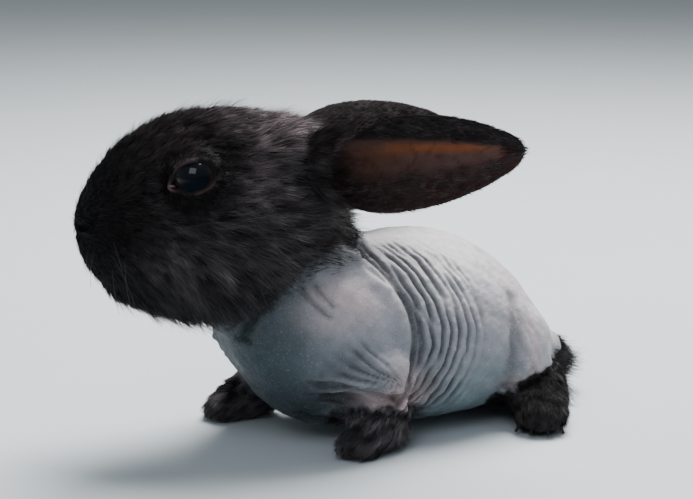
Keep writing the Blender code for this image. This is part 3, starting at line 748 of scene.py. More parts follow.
# %% The folds of the flank, the forelegs and the belly
def fold_skin(places):
    """How far each place rises or sinks in mm, and how much painted shade its valley gets."""
    x, y, z = places.T
    bare = 1 - furred(places)
    height = np.zeros(len(places))
    valley_shade = np.zeros(len(places))
    side = np.abs(y)
    warp = 0.17 * waver(places, 16, 3) + 0.10 * waver(places, 6, 4)

    def lay(much, folding, rise, level, dark):
        """Lays folds that rise above a level and sink below it, with painted shade in the valleys.
        """
        ridge, strength = folding
        height[:] += rise * much * strength * (ridge - level)
        valley_shade[:] += dark * much * strength * (1 - ridge)

    reach, angle = from_shoulder(places)
    spacing = 2.35 - 0.022 * np.clip(z - 32, 0, 20)
    ridge, strength = folds(
        (reach - 20.6) / spacing + warp, angle, 5, loose=0.13, wander=0.9, sharp=2.4
    )
    start = smooth_step(reach, 18.8, 20.8) * (angle > -1.9)
    fade = 1 - smooth_step(reach + 2.5 * waver(places, 14, 6), 30, 44)
    nape = 1 - 0.80 * smooth_step(z + 0.30 * reach, 57, 62)
    lay(start * fade * nape * strength * smooth_step(side, 3, 9), (ridge, 1), 1.35, 0.70, 1.1)

    crumple = folds(
        (reach - 20) / 1.9 + 1.3 * warp, angle * 1.4, 7, loose=0.2, wander=1.3, sharp=2.0
    )
    low = smooth_step(-z, -25, -14) * start * (1 - smooth_step(reach, 31, 43))
    lay(low, crumple, 0.55, 0.65, 0.5)

    crease = bell(reach, 20.2, 1.3) * smooth_step(angle, -1.1, -0.6)
    crease *= smooth_step(side, 5, 12)
    height -= 2.1 * crease
    valley_shade += 1.0 * crease
    proud = bell(reach, 17.2, 2.6) * smooth_step(side, 10, 18)
    height += 1.2 * proud * smooth_step(angle, -0.9, -0.4)

    for sign, forward, _ in LEGS.values():
        ahead = places + (forward * 0.85, 0, 0)
        elbow_x, elbow_z = (ahead[:, 0] + 9.5) / 1.35, ahead[:, 2] - 17.5
        gap = np.hypot(elbow_x, elbow_z)
        turn = np.arctan2(elbow_z, -elbow_x)
        fan = hump(gap, 1.5, 4.0, 14, 20)
        fan *= smooth_step(y * sign, 12, 18)
        fan *= hump(turn, -0.35, 0.05, 0.80, 1.20)
        rays = folds(turn / 0.16 + 0.5 * warp, gap / 14, 8, loose=0.10, wander=0.5, sharp=1.9)
        lay(fan, rays, 1.05, 0.60, 0.9)

        shin = blot(ahead, (-14.5, sign * 24, 13), (5.2, 9, 4.2))
        ridge, strength = folds(z / 1.55 + 0.6 * warp, x / 12, 12, loose=0.10, wander=0.4)
        height += 1.2 * shin + 0.5 * shin * strength * (ridge - 0.6)
        valley_shade += 0.7 * shin * strength * (1 - ridge)
        hollow = blot(ahead, (-26, sign * 20, 12.8), (7.5, 9, 4.2))
        height -= 4.2 * hollow
        valley_shade += 0.9 * hollow
        behind = blot(ahead, (-7.2, sign * 24, 13.5), (1.9, 9, 5.0))
        height -= 1.8 * behind
        valley_shade += 0.9 * behind
        tip = norm(ahead - (-9.8, sign * 26.5, 17.3))
        height += 1.5 * bell(tip, 0, 2.6)

    thigh = hump(x, 22, 27, 29, 36)
    thigh = thigh * smooth_step(side, 12, 20) * (1 - smooth_step(z, 26, 38))
    lay(thigh, folds((x + 0.15 * z) / 3.4 + warp, z / 14, 9, loose=0.15), 0.40, 0.6, 0.30)

    height += 0.16 * waver(places, 7, 10) + 0.06 * waver(places, 2.6, 11)
    return height * bare, np.clip(valley_shade, 0, 1) * bare


def on_skin(line, tree):
    """A line of places, each moved to the nearest place on the skin."""
    return [
        tuple(np.array(tree.find_nearest(Vector(metres(place)))[0]) / MM - OFFSET)
        for place in np.asarray(line, float)
    ]


# Each crease has a depth, a width, how far it follows the forefoot, and the places that it
# runs through on the left side. A depth under zero makes a ridge.
CREASES = (
    (1.0, 1.2, 0.3,
     ((-14.5, -9, 53.6), (-16.5, -13.5, 50.4), (-15.6, -17.2, 46.8), (-12.5, -19.5, 43.4))),
    (-0.9, 1.7, 0.3,
     ((-17.5, -10, 54), (-19.2, -15.5, 49.5), (-17.6, -18.5, 45.6), (-14, -20.5, 41.4))),
    (0.3, 1.1, 0.0,
     ((-51.5, -6.4, 35.6), (-48.4, -11.9, 38), (-44.7, -15.2, 40.3), (-41, -17.2, 42.3))),
    (0.6, 0.8, 0.3,
     ((-35.8, -18.7, 44.5), (-33, -19.6, 41.8), (-31.4, -22, 39.6), (-29.9, -23.3, 38.1))),
    (0.5, 0.7, 0.3, ((-31.8, -19.2, 45.5), (-29.9, -20.9, 42.5), (-28.7, -22.7, 40.4))),
    (0.8, 2.2, 0.0,
     ((26.3, -21.6, 35.4), (25.0, -24.7, 27.9), (24.7, -24.6, 19.8), (23.6, -24.1, 12.7))),
    (-0.7, 2.2, 0.0, ((30.5, -22.6, 33), (29.2, -25.4, 26), (29.0, -25.4, 18.5))),
    (-1.0, 1.5, 0.0, ((23.8, -23.9, 14.4), (30.9, -24.8, 14.9), (39.0, -21.8, 15.4))),
    (1.3, 1.2, 0.0, ((23.6, -23.6, 11.6), (30.9, -24.2, 12.2), (39.1, -21.2, 12.6))),
    (-1.1, 1.2, 0.85,
     ((-33, -20.7, 22.6), (-30.1, -24.6, 22.6), (-22.8, -27.2, 20.4), (-11.5, -26.9, 17.4))),
    (2.4, 1.5, 0.85,
     ((-33, -20.2, 19.8), (-29.5, -23.6, 20.0), (-22.6, -25.6, 17.8), (-13, -26.2, 15.0))),
)


def crease_skin(places, tree):
    """The same for single creases of the neck, chest and haunch."""
    height = np.zeros(len(places))
    valley_shade = np.zeros(len(places))
    bare = 1 - 0.7 * furred(places)
    for sign, forward, _ in LEGS.values():
        for depth, width, follows, line in CREASES:
            moved = np.array(line) * (1, -sign, 1) - (follows * forward, 0, 0)
            near = near_line(places, on_skin(moved, tree), width)
            height -= depth * near * bare
            valley_shade = np.maximum(valley_shade, 0.8 * near * bare * (depth > 0))
    return height, valley_shade


# %% Depth of the coat
def coat_depth(places):
    """How far the skin lies under the tips of the coat, in mm."""
    local = to_head(places)
    head = smooth_step(past_line(places, COAT_EDGE), -2, 4)
    nose = np.exp(-((norm(local - (-31, 0, -5)) / 9) ** 2))
    face = smooth_step(-local[:, 0], -4, 22)
    on_head = 1.15 - 0.45 * face - 0.40 * nose
    return furred(places) * (head * on_head + (1 - head) * 1.6)


# %% Laying the skin
bpy.context.view_layer.update()
smooth_body = BVHTree.FromObject(skin, bpy.context.evaluated_depsgraph_get())
places = places_of(skin.data)
places = places - normals_of(skin.data) * coat_depth(places)[:, None]
put_places(skin.data, places)
places, normals = places_of(skin.data), normals_of(skin.data)
height, valley_shade = fold_skin(places)
more_height, more_valley_shade = crease_skin(places, smooth_body)
height += more_height
valley_shade = np.clip(valley_shade + more_valley_shade, 0, 1)
places = places + normals * height[:, None]
put_places(skin.data, places)
print("folds from", height.min().round(2), "to", height.max().round(2), "mm")

# %% [markdown]
# The eye is a ball in a socket, and the skin has to give way to it. The skin is pushed under
# the ball inside the opening of the lids, and the nostrils, the cleft and the mouth are drawn
# in as fine grooves. The lids themselves are made later as pieces of their own.


# %% The eye's axes and the edge of the lids
def eye_axes(side):
    """The axes of an eye: along the opening of the lids, over it, and out of it."""
    out = unit(np.array([-0.22, side, 0.16]))
    ahead = np.array([-1.0, 0, 0])
    ahead = unit(ahead - out * (ahead @ out))
    rise = np.cross(out, ahead) * side
    tilt = math.radians(11)
    along = ahead * math.cos(tilt) - rise * math.sin(tilt)
    over = rise * math.cos(tilt) + ahead * math.sin(tilt)
    return np.array([along, over, out]) @ HEAD_AXES.T


CORNER_TURN = -0.16


def lid_edge(turn):
    """How far the lids' edge leans from the eye's axis, and how near it is to the front corner."""
    lean = (np.abs(np.cos(turn) / 56) ** 2.1 + np.abs(np.sin(turn) / 37) ** 2.1) ** (-1 / 2.1)
    away = (turn - CORNER_TURN + math.pi) % (2 * math.pi) - math.pi
    corner = bell(away, 0, 0.26)
    return np.radians(lean + 17 * corner), corner


def rim_width(turn):
    """How wide the bare rim of the lids is: widest ahead and above, thin behind."""
    return 0.75 + 1.15 * bell(turn, 0.5, 0.85)


def seen_from_eye(places, side):
    """Distance from an eye, lean from its axis, angle round it, degrees past the lids, corner."""
    away = places - eye_middle(side)
    reach = norm(away)
    local = unit(away) @ eye_axes(side).T
    lean = np.arccos(np.clip(local[:, 2], -1, 1))
    turn = np.arctan2(local[:, 1], local[:, 0])
    edge, corner = lid_edge(turn)
    past = np.degrees(lean - edge)
    return reach, lean, turn, np.where(past > 0, past / rim_width(turn), past), corner


# %% Sockets, nostrils and mouth
# The fold behind the upper lid, as degrees from the eye's axis ahead and upwards.
LID_FOLD = ((-3.5, 41), (-29, 48), (-56, 39), (-79, 13), (-88, -12))
# Depth, width and run of the grooves of the nose and the mouth, in the head's frame.
NOSE_LINES = (
    (1.5, 0.62,
     ((-26.9, -8.8, 0.2), (-27.4, -8.5, -1.8), (-28.8, -7.6, -3.4), (-30.4, -5.4, -4.4))),
    (0.7, 0.45, ((-30.4, -5.4, -4.4), (-31.2, -3.4, -5.4), (-31.9, -1.2, -6.2))),
    (0.8, 0.4, ((-32, 0, -5.2), (-31.6, 0, -8), (-30.6, 0, -11.5))),
    (0.7, 0.45, ((-30.6, 0, -11.5), (-29, -3.5, -13), (-25.5, -7, -14.4), (-20.5, -10, -14.2))),
)
LIP_LINE = ((-31.6, -4.2, -5.4), (-30.2, -6.7, -5.2), (-28.6, -8.4, -5.6))
WING_LINE = ((-31.2, -3.4, -2.2), (-29.6, -6.2, -0.6), (-27.8, -8.4, 1.6), (-26.0, -9.9, 0.4))


def mirrored(line, side):
    """A line of the head's left side, on either side, in the rabbit's frame."""
    return from_head(np.array(line) * (1, -side, 1))


places = places_of(skin.data)
for side in (-1, 1):
    reach, lean, turn, past, corner = seen_from_eye(places, side)
    mound = 6.35 + 1.1 * corner + 0.12 * np.clip(np.sin(turn), 0, 1)
    lifted = (reach + mound + np.sqrt((reach - mound) ** 2 + 0.5)) / 2
    flat = np.degrees(lean)[:, None] * np.column_stack([np.cos(turn), np.sin(turn)])
    lifted -= 0.34 * near_line(flat, LID_FOLD, 4.0)
    under = 1 - smooth_step(past, -4, 3)
    target = lifted + (np.minimum(reach, 5.2) - lifted) * under
    close = (1 - smooth_step(reach, 11, 13)) * (lean < math.radians(115))
    reach_now = reach + (target - reach) * close
    places = places + unit(places - eye_middle(side)) * (reach_now - reach)[:, None]
put_places(skin.data, places)
places, normals = places_of(skin.data), normals_of(skin.data)
pinch, wing = np.zeros((2, len(places)))
for side in (-1, 1):
    for depth, width, line in NOSE_LINES:
        near = near_line(places, on_skin(mirrored(line, side), smooth_body), width)
        pinch = np.maximum(pinch, depth * near)
    near = near_line(places, on_skin(mirrored(WING_LINE, side), smooth_body), 1.1)
    wing = np.maximum(wing, 0.65 * near)
places = places + normals * (wing - pinch)[:, None]
places[:, 2] = np.maximum(places[:, 2], SKIN_FLOOR)
put_places(skin.data, places)

# %% [markdown]
# The bald skin is grey, paler over the back and darker on the chest, and pink where it is thin
# or rubbed: over the shoulder, in the folds of the foreleg and along the hem of the haunch.
# Painted light is laid over these colours: skin that faces up is lightened as if lit from above,
# the lower flank, the belly and the chest are darkened and turned blue-teal as painted shade with
# painted blue light from below, and the fold valleys, the creases, the hollow under the
# foreleg's hem and the skin just below the coat's edge get painted shade. All of it is worked out
# from places and normals on the body, and the few short hairs of the bald skin take the same
# colours.


# %% Markings and painted light
def both_sides(places, middle, radii, follows=0.0):
    """The same blot on both sides of the body, moved with each foreleg."""
    total = np.zeros(len(places))
    for sign, forward, _ in LEGS.values():
        x, y, z = middle
        total += blot(places, (x - follows * forward, sign * abs(y), z), radii)
    return np.clip(total, 0, 1)


def blend(colour, other, share):
    """The colours, changed towards another one by a share for each place."""
    return colour + (np.array(other) - colour) * np.clip(share, 0, 1)[:, None]


COAT_BLACK = np.array([0.013, 0.012, 0.014])
# The middle, radii and follow of a blot on both sides, its colour, its share, and how much
# the patches of the skin change that share. The first six blots are painted shade, the other
# five the skin's own pink.
BLOTS = (
    # Painted shade: under the shoulder, behind it, in two creases below the coat's edge, behind the
    # elbow, and in the hollow under the foreleg's hem.
    ((-29, 24, 25.5), (13, 10, 7.5), 0.3, (0.082, 0.100, 0.118), 0.88, 0),
    ((-4, 22, 37), (8, 9, 15), 0.0, (0.170, 0.180, 0.205), 0.65, 0),
    ((-7, 13, 50), (10, 8, 6), 0.0, (0.200, 0.205, 0.228), 0.75, 0),
    ((-14, 11.5, 51.5), (5, 6, 4), 0.0, (0.070, 0.075, 0.085), 0.8, 0),
    ((-2, 24.5, 20), (4, 6, 7), 0.0, (0.060, 0.075, 0.085), 0.6, 0),
    ((-23.5, 16.5, 14), (6, 5, 4), 0.85, (0.012, 0.022, 0.027), 0.85, 0),
    # The skin's own pink: over the shoulder, at the elbow, in the folds of the foreleg, and in a
    # stripe and along the hem of the haunch.
    ((-26, 21, 40), (9.0, 8, 5.5), 0.3, (0.52, 0.415, 0.43), 0.72, 0.36),
    ((-10.5, 26, 19.5), (4.2, 8, 4.5), 0.8, (0.50, 0.42, 0.43), 0.75, 0),
    ((-12, 24, 13.5), (10, 7, 5.0), 0.8, (0.48, 0.330, 0.330), 0.85, 0),
    ((32, 25, 22), (2.4, 6, 8), 0.0, (0.46, 0.335, 0.35), 0.55, 0),
    ((31, 25, 13.2), (11, 6, 1.8), 0.0, (0.47, 0.33, 0.33), 0.55, 0),
)


def colour_and_painted_light(places, normals, valley_shade):
    """The colour of the skin with its painted light and shade, as linear red, green and blue."""
    x, y, z = places.T
    up = normals[:, 2]
    colour = np.tile([0.335, 0.330, 0.360], (len(places), 1))
    patchy = waver(places, 10, 21)
    # Painted light: upper lightens skin that faces up as if lit from above, over the back's own
    # paler grey; flank and low darken the skin that faces down and lies low, and chest darkens and
    # tints the chest blue-teal, painted shade with painted blue light from below over the chest's
    # own darker grey. The chest's lowest part gets more painted shade.
    upper = smooth_step(up + 0.10 * patchy, 0.10, 0.85) * smooth_step(x, -26, -4)
    haunch = smooth_step(x + 3 * patchy, 16, 34) * (up > -0.3)
    flank = smooth_step(-z + 2 * patchy, -44, -20) * smooth_step(-up, -0.75, 0.1)
    low = smooth_step(-z + 0.10 * x + 3 * patchy, -25, -9)
    chest = smooth_step(-x - 0.55 * np.abs(y) + 2 * patchy, 11, 27)
    chest *= 1 - 0.9 * both_sides(places, (-24, 22, 38), (10, 9, 8), 0.3)
    for tint, share in (
        ((0.80, 0.755, 0.785), 0.9 * upper),
        ((0.58, 0.52, 0.545), 0.6 * haunch),
        ((0.200, 0.215, 0.245), 0.8 * flank * (1 - 0.7 * haunch)),
        ((0.105, 0.155, 0.175), 0.9 * low * (1 - 0.6 * haunch)),
        ((0.021, 0.040, 0.050), 0.96 * chest),
        ((0.014, 0.024, 0.029), 0.85 * chest * smooth_step(-z, -24, -12)),
    ):
        colour = blend(colour, tint, share)
    for middle, radii, follows, tint, share, uneven in BLOTS:
        much = both_sides(places, middle, radii, follows)
        colour = blend(colour, tint, much * (share + uneven * patchy))
    # Painted shade on the bald skin just below the coat's edge, reaching further at the throat.
    throat = smooth_step(-x, 30, 46)
    coat_edge_shade = smooth_step(past_line(places, COAT_EDGE) + 1.5 * patchy, -12 - 5 * throat, 1)
    colour = blend(colour, (0.030, 0.042, 0.050), 0.9 * coat_edge_shade * (x < -4))
    # Painted shade in the valleys of the folds and creases.
    colour = colour * (1 - 0.58 * valley_shade)[:, None]
    colour = colour * (1 + 0.07 * waver(places, 3.2, 22) + 0.05 * waver(places, 1.1, 23))[:, None]
    covered = smooth_step(furred(places), 0.05, 0.55)
    return blend(np.clip(colour, 0.004, 1), COAT_BLACK, covered)


def store(mesh, name, kind, values):
    """Keeps a colour, a vector or a number for each place of the mesh."""
    layer = mesh.attributes.new(name, kind, "POINT")
    key = {"FLOAT_COLOR": "color", "FLOAT_VECTOR": "vector", "FLOAT": "value"}[kind]
    layer.data.foreach_set(key, np.asarray(values, float).ravel())


def store_colour(mesh, colour):
    """Keeps the colours under the name that every coloured material reads."""
    store(mesh, "colour_and_painted_light", "FLOAT_COLOR", np.column_stack([colour, np.ones(len(colour))]))


places, normals = places_of(skin.data), normals_of(skin.data)
skin_colour = colour_and_painted_light(places, normals, valley_shade)
for side in (-1, 1):
    away = norm(places - eye_middle(side))
    skin_colour = blend(skin_colour, (0.008, 0.006, 0.007), 1 - smooth_step(away, 8, 10))
    # Painted shade in the grooves of the nostrils.
    for _, _, line in NOSE_LINES[:2]:
        nostril_shade = near_line(places, mirrored(line, side), 1.0)
        skin_colour = blend(skin_colour, (0.0020, 0.0018, 0.0020), nostril_shade)
    lip = near_line(places, mirrored(LIP_LINE, side), 0.30)
    skin_colour = blend(skin_colour, (0.040, 0.044, 0.050), lip)
store_colour(skin.data, skin_colour)
store(skin.data, "bare", "FLOAT", 1 - furred(places))
skin.data.shade_smooth()

# %% Shader groups that several materials share
def shader_group(name, inputs, outputs):
    """A group with named sockets, and its two ends."""
    group = bpy.data.node_groups.new(name, "ShaderNodeTree")
    for title, kind, value in inputs:
        group.interface.new_socket(title, in_out="INPUT", socket_type=kind).default_value = value
    for title, kind in outputs:
        group.interface.new_socket(title, in_out="OUTPUT", socket_type=kind)
    return group, group.nodes.new("NodeGroupInput"), group.nodes.new("NodeGroupOutput")


skin_grain, entry, leaving = shader_group(
    "skin_grain",
    (("Scale", "NodeSocketFloat", 1300.0), ("Relief", "NodeSocketFloat", 1.0)),
    (("Normal", "NodeSocketVector"), ("Grain", "NodeSocketFloat")),
)
where = node(skin_grain, "ShaderNodeTexCoord").outputs["Object"]
spread = {"Vector": where, "Scale": entry.outputs["Scale"]}
grain = node(skin_grain, "ShaderNodeTexNoise", {**spread, "Detail": 3.0, "Roughness": 0.6})
cells = node(skin_grain, "ShaderNodeTexVoronoi", spread)
both = maths(skin_grain, "ADD", cells, grain)
height = maths(skin_grain, "MULTIPLY", both, entry.outputs["Relief"])
relief = {"Strength": 0.4, "Distance": 0.0002, "Height": height}
bump = node(skin_grain, "ShaderNodeBump", relief)
fill(skin_grain, leaving, {"Normal": bump, "Grain": grain})

hair_tone, entry, leaving = shader_group(
    "hair_tone",
    (
        ("Tint_and_painted_light", "NodeSocketVector", (0.02, 0.02, 0.02)),
        ("Scale", "NodeSocketFloat", 420.0),
        ("Contrast", "NodeSocketFloat", 0.55),
    ),
    (("Colour", "NodeSocketVector"), ("Roughness", "NodeSocketFloat")),
)
where = node(hair_tone, "ShaderNodeTexCoord").outputs["Object"]
spread = {"Vector": where, "Scale": entry.outputs["Scale"], "Detail": 3.0}
uneven = node(hair_tone, "ShaderNodeTexNoise", spread)
away = maths(hair_tone, "ADD", uneven, -0.5)
much = maths(hair_tone, "ADD", maths(hair_tone, "MULTIPLY", away, entry.outputs["Contrast"]), 1.0)
shading = {0: entry.outputs["Tint_and_painted_light"], "Scale": much}
toned = node(hair_tone, "ShaderNodeVectorMath", shading, operation="SCALE")
dull = node(hair_tone, "ShaderNodeMapRange", {"Value": uneven, "To Min": 0.42, "To Max": 0.64})
fill(hair_tone, leaving, {"Colour": toned, "Roughness": dull})
print("shader groups", [group.name for group in (skin_grain, hair_tone)])


def hair_look(name, tint=None, contrast=0.55, even=False, **values):
    """A material of hair, coloured by the group hair_tone. An even one has one roughness."""
    material, tree, shader = new_material(name, **values)
    inputs = {"Tint_and_painted_light": tint or stored(tree, "colour_and_painted_light"), "Contrast": contrast}
    tone = node(tree, "ShaderNodeGroup", inputs, node_tree=hair_tone)
    fill(tree, shader, {"Base Color": tone.outputs["Colour"]})
    if not even:
        fill(tree, shader, {"Roughness": tone.outputs["Roughness"]})
    return material


# %% Skin material
hide, tree, shader = new_material(
    "bald_hide", Roughness=0.54, Specular_IOR_Level=0.35,
    Sheen_Weight=0.05, Sheen_Roughness=0.45, Sheen_Tint=(0.85, 0.88, 0.95, 1),
    Subsurface_Weight=0.08, Subsurface_Radius=(0.6, 0.35, 0.3), Subsurface_Scale=0.002,
)
fine = node(tree, "ShaderNodeGroup", {"Scale": 1800.0, "Relief": 1.2}, node_tree=skin_grain)
# Pale specks on the bald skin: partly fine down and pores, partly painted glints.
limits = {"Value": fine.outputs["Grain"], "From Min": 0.58, "From Max": 0.72}
light = node(tree, "ShaderNodeMapRange", limits)
speck = maths(tree, "MULTIPLY", light, stored(tree, "bare", "Fac"))
few = maths(tree, "MULTIPLY", speck, 0.20)
pale = mixed(tree, few, stored(tree, "colour_and_painted_light", "Color"), (0.55, 0.55, 0.58, 1))
fill(tree, shader, {"Base Color": pale, "Normal": fine.outputs["Normal"]})
# Under the coat the skin is matt, so that no gap between the blades catches the light.
under_coat, tree, shader = new_material(
    "hide_under_coat", Roughness=0.95, Specular_IOR_Level=0.03
)
fine = node(tree, "ShaderNodeGroup", node_tree=skin_grain)
dimmed = shaded(tree, stored(tree, "colour_and_painted_light"), fine.outputs["Grain"], 0.4, 1.1)
fill(tree, shader, {"Base Color": dimmed})
skin.data.materials.clear()
skin.data.materials.append(hide)
skin.data.materials.append(under_coat)
triangles = triangles_of(skin.data)
middles = places_of(skin.data)[triangles].mean(1)
owner = np.zeros(len(triangles), np.int64)
skin.data.loop_triangles.foreach_get("polygon_index", owner)
covered = np.zeros(len(skin.data.polygons), np.int32)
covered[owner] = furred(middles) > 0.6
skin.data.polygons.foreach_set("material_index", covered)
FLESH = ["torso", "neck", "head", "tail"]
for name in LEGS:
    FLESH += ["foreleg_" + name, "forefoot_" + name, "thigh_" + name, "hindfoot_" + name]
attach(skin, "root")
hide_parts(*FLESH)
print("skin triangles", count_triangles(skin.data))

# %% [markdown]
# The globe is a turned form with a clear bulge over the pupil, made of rings round the axis
# of the eye, so that the distance from the axis can be stored on it. The lids are a soft rim
# that follows the almond of the opening, with a small pink pad in the front corner. A rim
# lofted from the opening outwards fits any tilt of the eye.


# %% Globe
def eye_point(side, lean, around, reach):
    """A place seen from the middle of an eye: lean from its axis, angle round it, distance."""
    across = np.sin(lean)
    out = np.cos(lean) * np.ones_like(around)
    local = np.stack([across * np.cos(around), across * np.sin(around), out], axis=-1)
    return eye_middle(side) + (local * np.asarray(reach)[..., None]) @ eye_axes(side)


eye_gloss, tree, shader = new_material(
    "eye_gloss_deep", Roughness=0.3, Specular_IOR_Level=0.02, Coat_Roughness=0.03, Coat_IOR=1.38
)
film = stored(tree, "tear_film", "Fac")
from_axis = stored(tree, "from_axis", "Fac")
fibres = {"Vector": stored(tree, "spokes"), "Scale": 2.4, "Detail": 3.0}
wavy = maths(tree, "ADD", node(tree, "ShaderNodeTexNoise", fibres), -0.5)
ring = maths(tree, "ADD", from_axis, maths(tree, "MULTIPLY", wavy, 0.10))
ramp = node(tree, "ShaderNodeValToRGB", {"Fac": ring})
stops = (
    (0.00, (0.0010, 0.0022, 0.0050)),
    (0.60, (0.0012, 0.0022, 0.0045)),
    (0.66, (0.0050, 0.0036, 0.0038)),
    (0.74, (0.0150, 0.0080, 0.0062)),
    (0.80, (0.0090, 0.0050, 0.0042)),
    (0.84, (0.0012, 0.0010, 0.0011)),
    (0.96, (0.0012, 0.0010, 0.0011)),
)
while len(ramp.color_ramp.elements) < len(stops):
    ramp.color_ramp.elements.new(0.5)
for element, (at, colour) in zip(ramp.color_ramp.elements, stops):
    element.position = at
    element.color = (*colour, 1)
# Painted reflection: below the tear film the pupil is tinted blue, as if it mirrored blue light
# from below.
sunk = node(tree, "ShaderNodeMapRange", {"Value": film, "To Min": 0.85, "To Max": 0.0})
limits = {"From Min": 0.50, "From Max": 0.62, "To Min": 1.0, "To Max": 0.0}
deep = node(tree, "ShaderNodeMapRange", {"Value": from_axis, **limits})
painted_reflection_share = maths(tree, "MULTIPLY", sunk, deep)
with_painted_reflection = mixed(tree, painted_reflection_share, ramp.outputs[0], (0.0008, 0.0040, 0.0080, 1))
fill(tree, shader, {"Coat Weight": film, "Base Color": with_painted_reflection})

for side, name in ((-1, "left"), (1, "right")):
    lean = np.linspace(0.02, math.pi - 0.02, 40)[:, None]
    around = np.linspace(0, 2 * math.pi, 56, endpoint=False)[None, :]
    reach = EYE_RADIUS + 0.32 * np.exp(-((lean / 0.62) ** 4)) + 0 * around
    rings = eye_point(side, lean + 0 * around, around + 0 * lean, reach)
    globe_places, globe_faces = capped(rings)
    globe = shown("globe_" + name, mesh_of("globe_" + name, globe_places, globe_faces), eye_gloss)
    ahead, rise, out = (unit(globe_places - eye_middle(side)) @ eye_axes(side).T).T
    store(globe.data, "from_axis", "FLOAT", np.where(out > 0, np.hypot(ahead, rise), 1))
    film = hump(rise, -0.22, 0.12, 0.40, 0.52)
    store(globe.data, "tear_film", "FLOAT", film)
    angle = np.arctan2(rise, ahead)
    spokes = np.column_stack([3 * np.cos(angle), 3 * np.sin(angle), out])
    store(globe.data, "spokes", "FLOAT_VECTOR", spokes)
    face_outwards(globe.data)
    globe.data.shade_smooth()
    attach(globe, "root")
    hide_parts("eye_" + name)
print("globes", len(globe_places), "places each")

# %% Lids
# Degrees past the edge of the opening, and distance from the middle of the eye.
LID_ROWS = (
    (-10, 5.60),
    (-5, 5.95),
    (-1.5, 6.12),
    (1.5, 6.36),
    (4.5, 6.50),
    (8.0, 6.52),
    (12, 6.42),
    (18, 6.15),
    (27, 5.55),
)
lid_skin, tree, shader = new_material("lid_skin", Roughness=0.7, Specular_IOR_Level=0.08)
fine = node(tree, "ShaderNodeGroup", {"Scale": 2600.0, "Relief": 0.75}, node_tree=skin_grain)
tinted = shaded(tree, stored(tree, "colour_and_painted_light"), fine.outputs["Grain"], 0.6, 1.3)
fill(tree, shader, {"Base Color": tinted, "Normal": fine.outputs["Normal"]})
LID_SIDES = 96

for side, name in ((-1, "left"), (1, "right")):
    turn = np.linspace(0, 2 * math.pi, LID_SIDES, endpoint=False)
    circle = np.column_stack([np.cos(turn), np.sin(turn), 0 * turn])
    edge, corner = lid_edge(turn)
    rings = []
    for i, (offset, reach) in enumerate(LID_ROWS):
        puff = 0.14 * np.clip(np.sin(turn), 0, 1) * (offset > 0)
        puff = puff + 1.05 * corner * (1 - 0.12 * (i < 2))
        puff += 0.09 * waver((circle + (0, 0, 0.1 * i)) * 6, 2.6, 31)
        wide = rim_width(turn) if offset > 0 else 1.0
        lean = edge + math.radians(offset) * wide
        rings.append(eye_point(side, lean, turn, reach + puff))
    lid_places = np.array(rings).reshape(-1, 3)
    lid_mesh = mesh_of("lids_" + name, lid_places, wall(len(rings), LID_SIDES))
    lid = shown("lids_" + name, lid_mesh, lid_skin)
    row = np.repeat(np.arange(len(LID_ROWS)), LID_SIDES)
    angle = np.tile(np.degrees(turn), len(LID_ROWS))
    rim = bell(row, 4.0, 1.5)
    front = hump(angle, 5, 25, 100, 130)
    rear = hump(angle, 185, 215, 262, 290)
    under = hump(angle, 262, 290, 335, 345)
    pink = np.tile(corner, len(LID_ROWS)) ** 2 * (row < 6) * (row > 1)
    colour = np.tile([0.0070, 0.0050, 0.0055], (len(lid_places), 1))
    colour = blend(colour, (0.098, 0.068, 0.065), rim * front)
    colour = blend(colour, (0.050, 0.027, 0.027), rim * rear)
    colour = blend(colour, (0.012, 0.008, 0.008), rim * under)
    colour = blend(colour, (0.15, 0.092, 0.090), pink)
    store_colour(lid.data, colour)
    finer = lid.modifiers.new("finer", "SUBSURF")
    finer.levels = finer.render_levels = 1
    applied(lid)
    face_outwards(lid.data)
    # The lids are an open rim, so one face tells whether the whole rim has to be turned over.
    probe = lid.data.polygons[LID_SIDES * 2 * 9]
    away = np.array(probe.center) / MM - OFFSET - eye_middle(side)
    if away @ np.array(probe.normal) < 0:
        lid.data.flip_normals()
    lid.data.shade_smooth()
    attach(lid, "root")

    pad_places, pad_faces = egg_form((0, 0, 0), (0.9, 0.42, 0.42), count=14, sides=20)
    pad_places[:, 1] += 0.2 * np.sin(2.2 * pad_places[:, 0])
    lean = lid_edge(np.array([CORNER_TURN]))[0] - math.radians(7)
    middle = eye_point(side, lean, np.array([CORNER_TURN]), np.array([6.45]))[0]
    pad_places = pad_places @ eye_axes(side) + middle
    pad = shown("corner_" + name, mesh_of("corner", pad_places, pad_faces), lid_skin)
    store_colour(pad.data, np.tile([0.140, 0.090, 0.088], (len(pad_places), 1)))
    face_outwards(pad.data)
    pad.data.shade_smooth()
    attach(pad, "root")
print("lids", len(lid.data.polygons), "faces each")

# %% [markdown]
# The ears are thin gristle under skin: a tube at the root that opens into a long cup. A shell
# is lofted through open rings that wrap round less and less, then gets its two faces and a
# rounded rim. The inside is bare and brown, with light shining through it painted on as a warm
# streak and glow, and black fur covers the outside and folds a little way in over both rims.

# %% Ear sizes
EAR_BASE = np.array([22.5, 6.5, 12.5])
EAR_LENGTH = 57.0
# Place along the ear, half its width, and how far the shell wraps round to each side. The
# first rows are narrower than in the solids, so that the root starts inside the head.
EAR_PROFILE = (
    (0.00, 2.0, 164),
    (0.05, 4.6, 160),
    (0.12, 7.0, 152),
    (0.26, 9.9, 116),
    (0.44, 12.0, 84),
    (0.62, 11.3, 72),
    (0.78, 8.9, 64),
    (0.90, 6.0, 58),
    (0.97, 3.6, 54),
    (1.00, 1.5, 50),
)


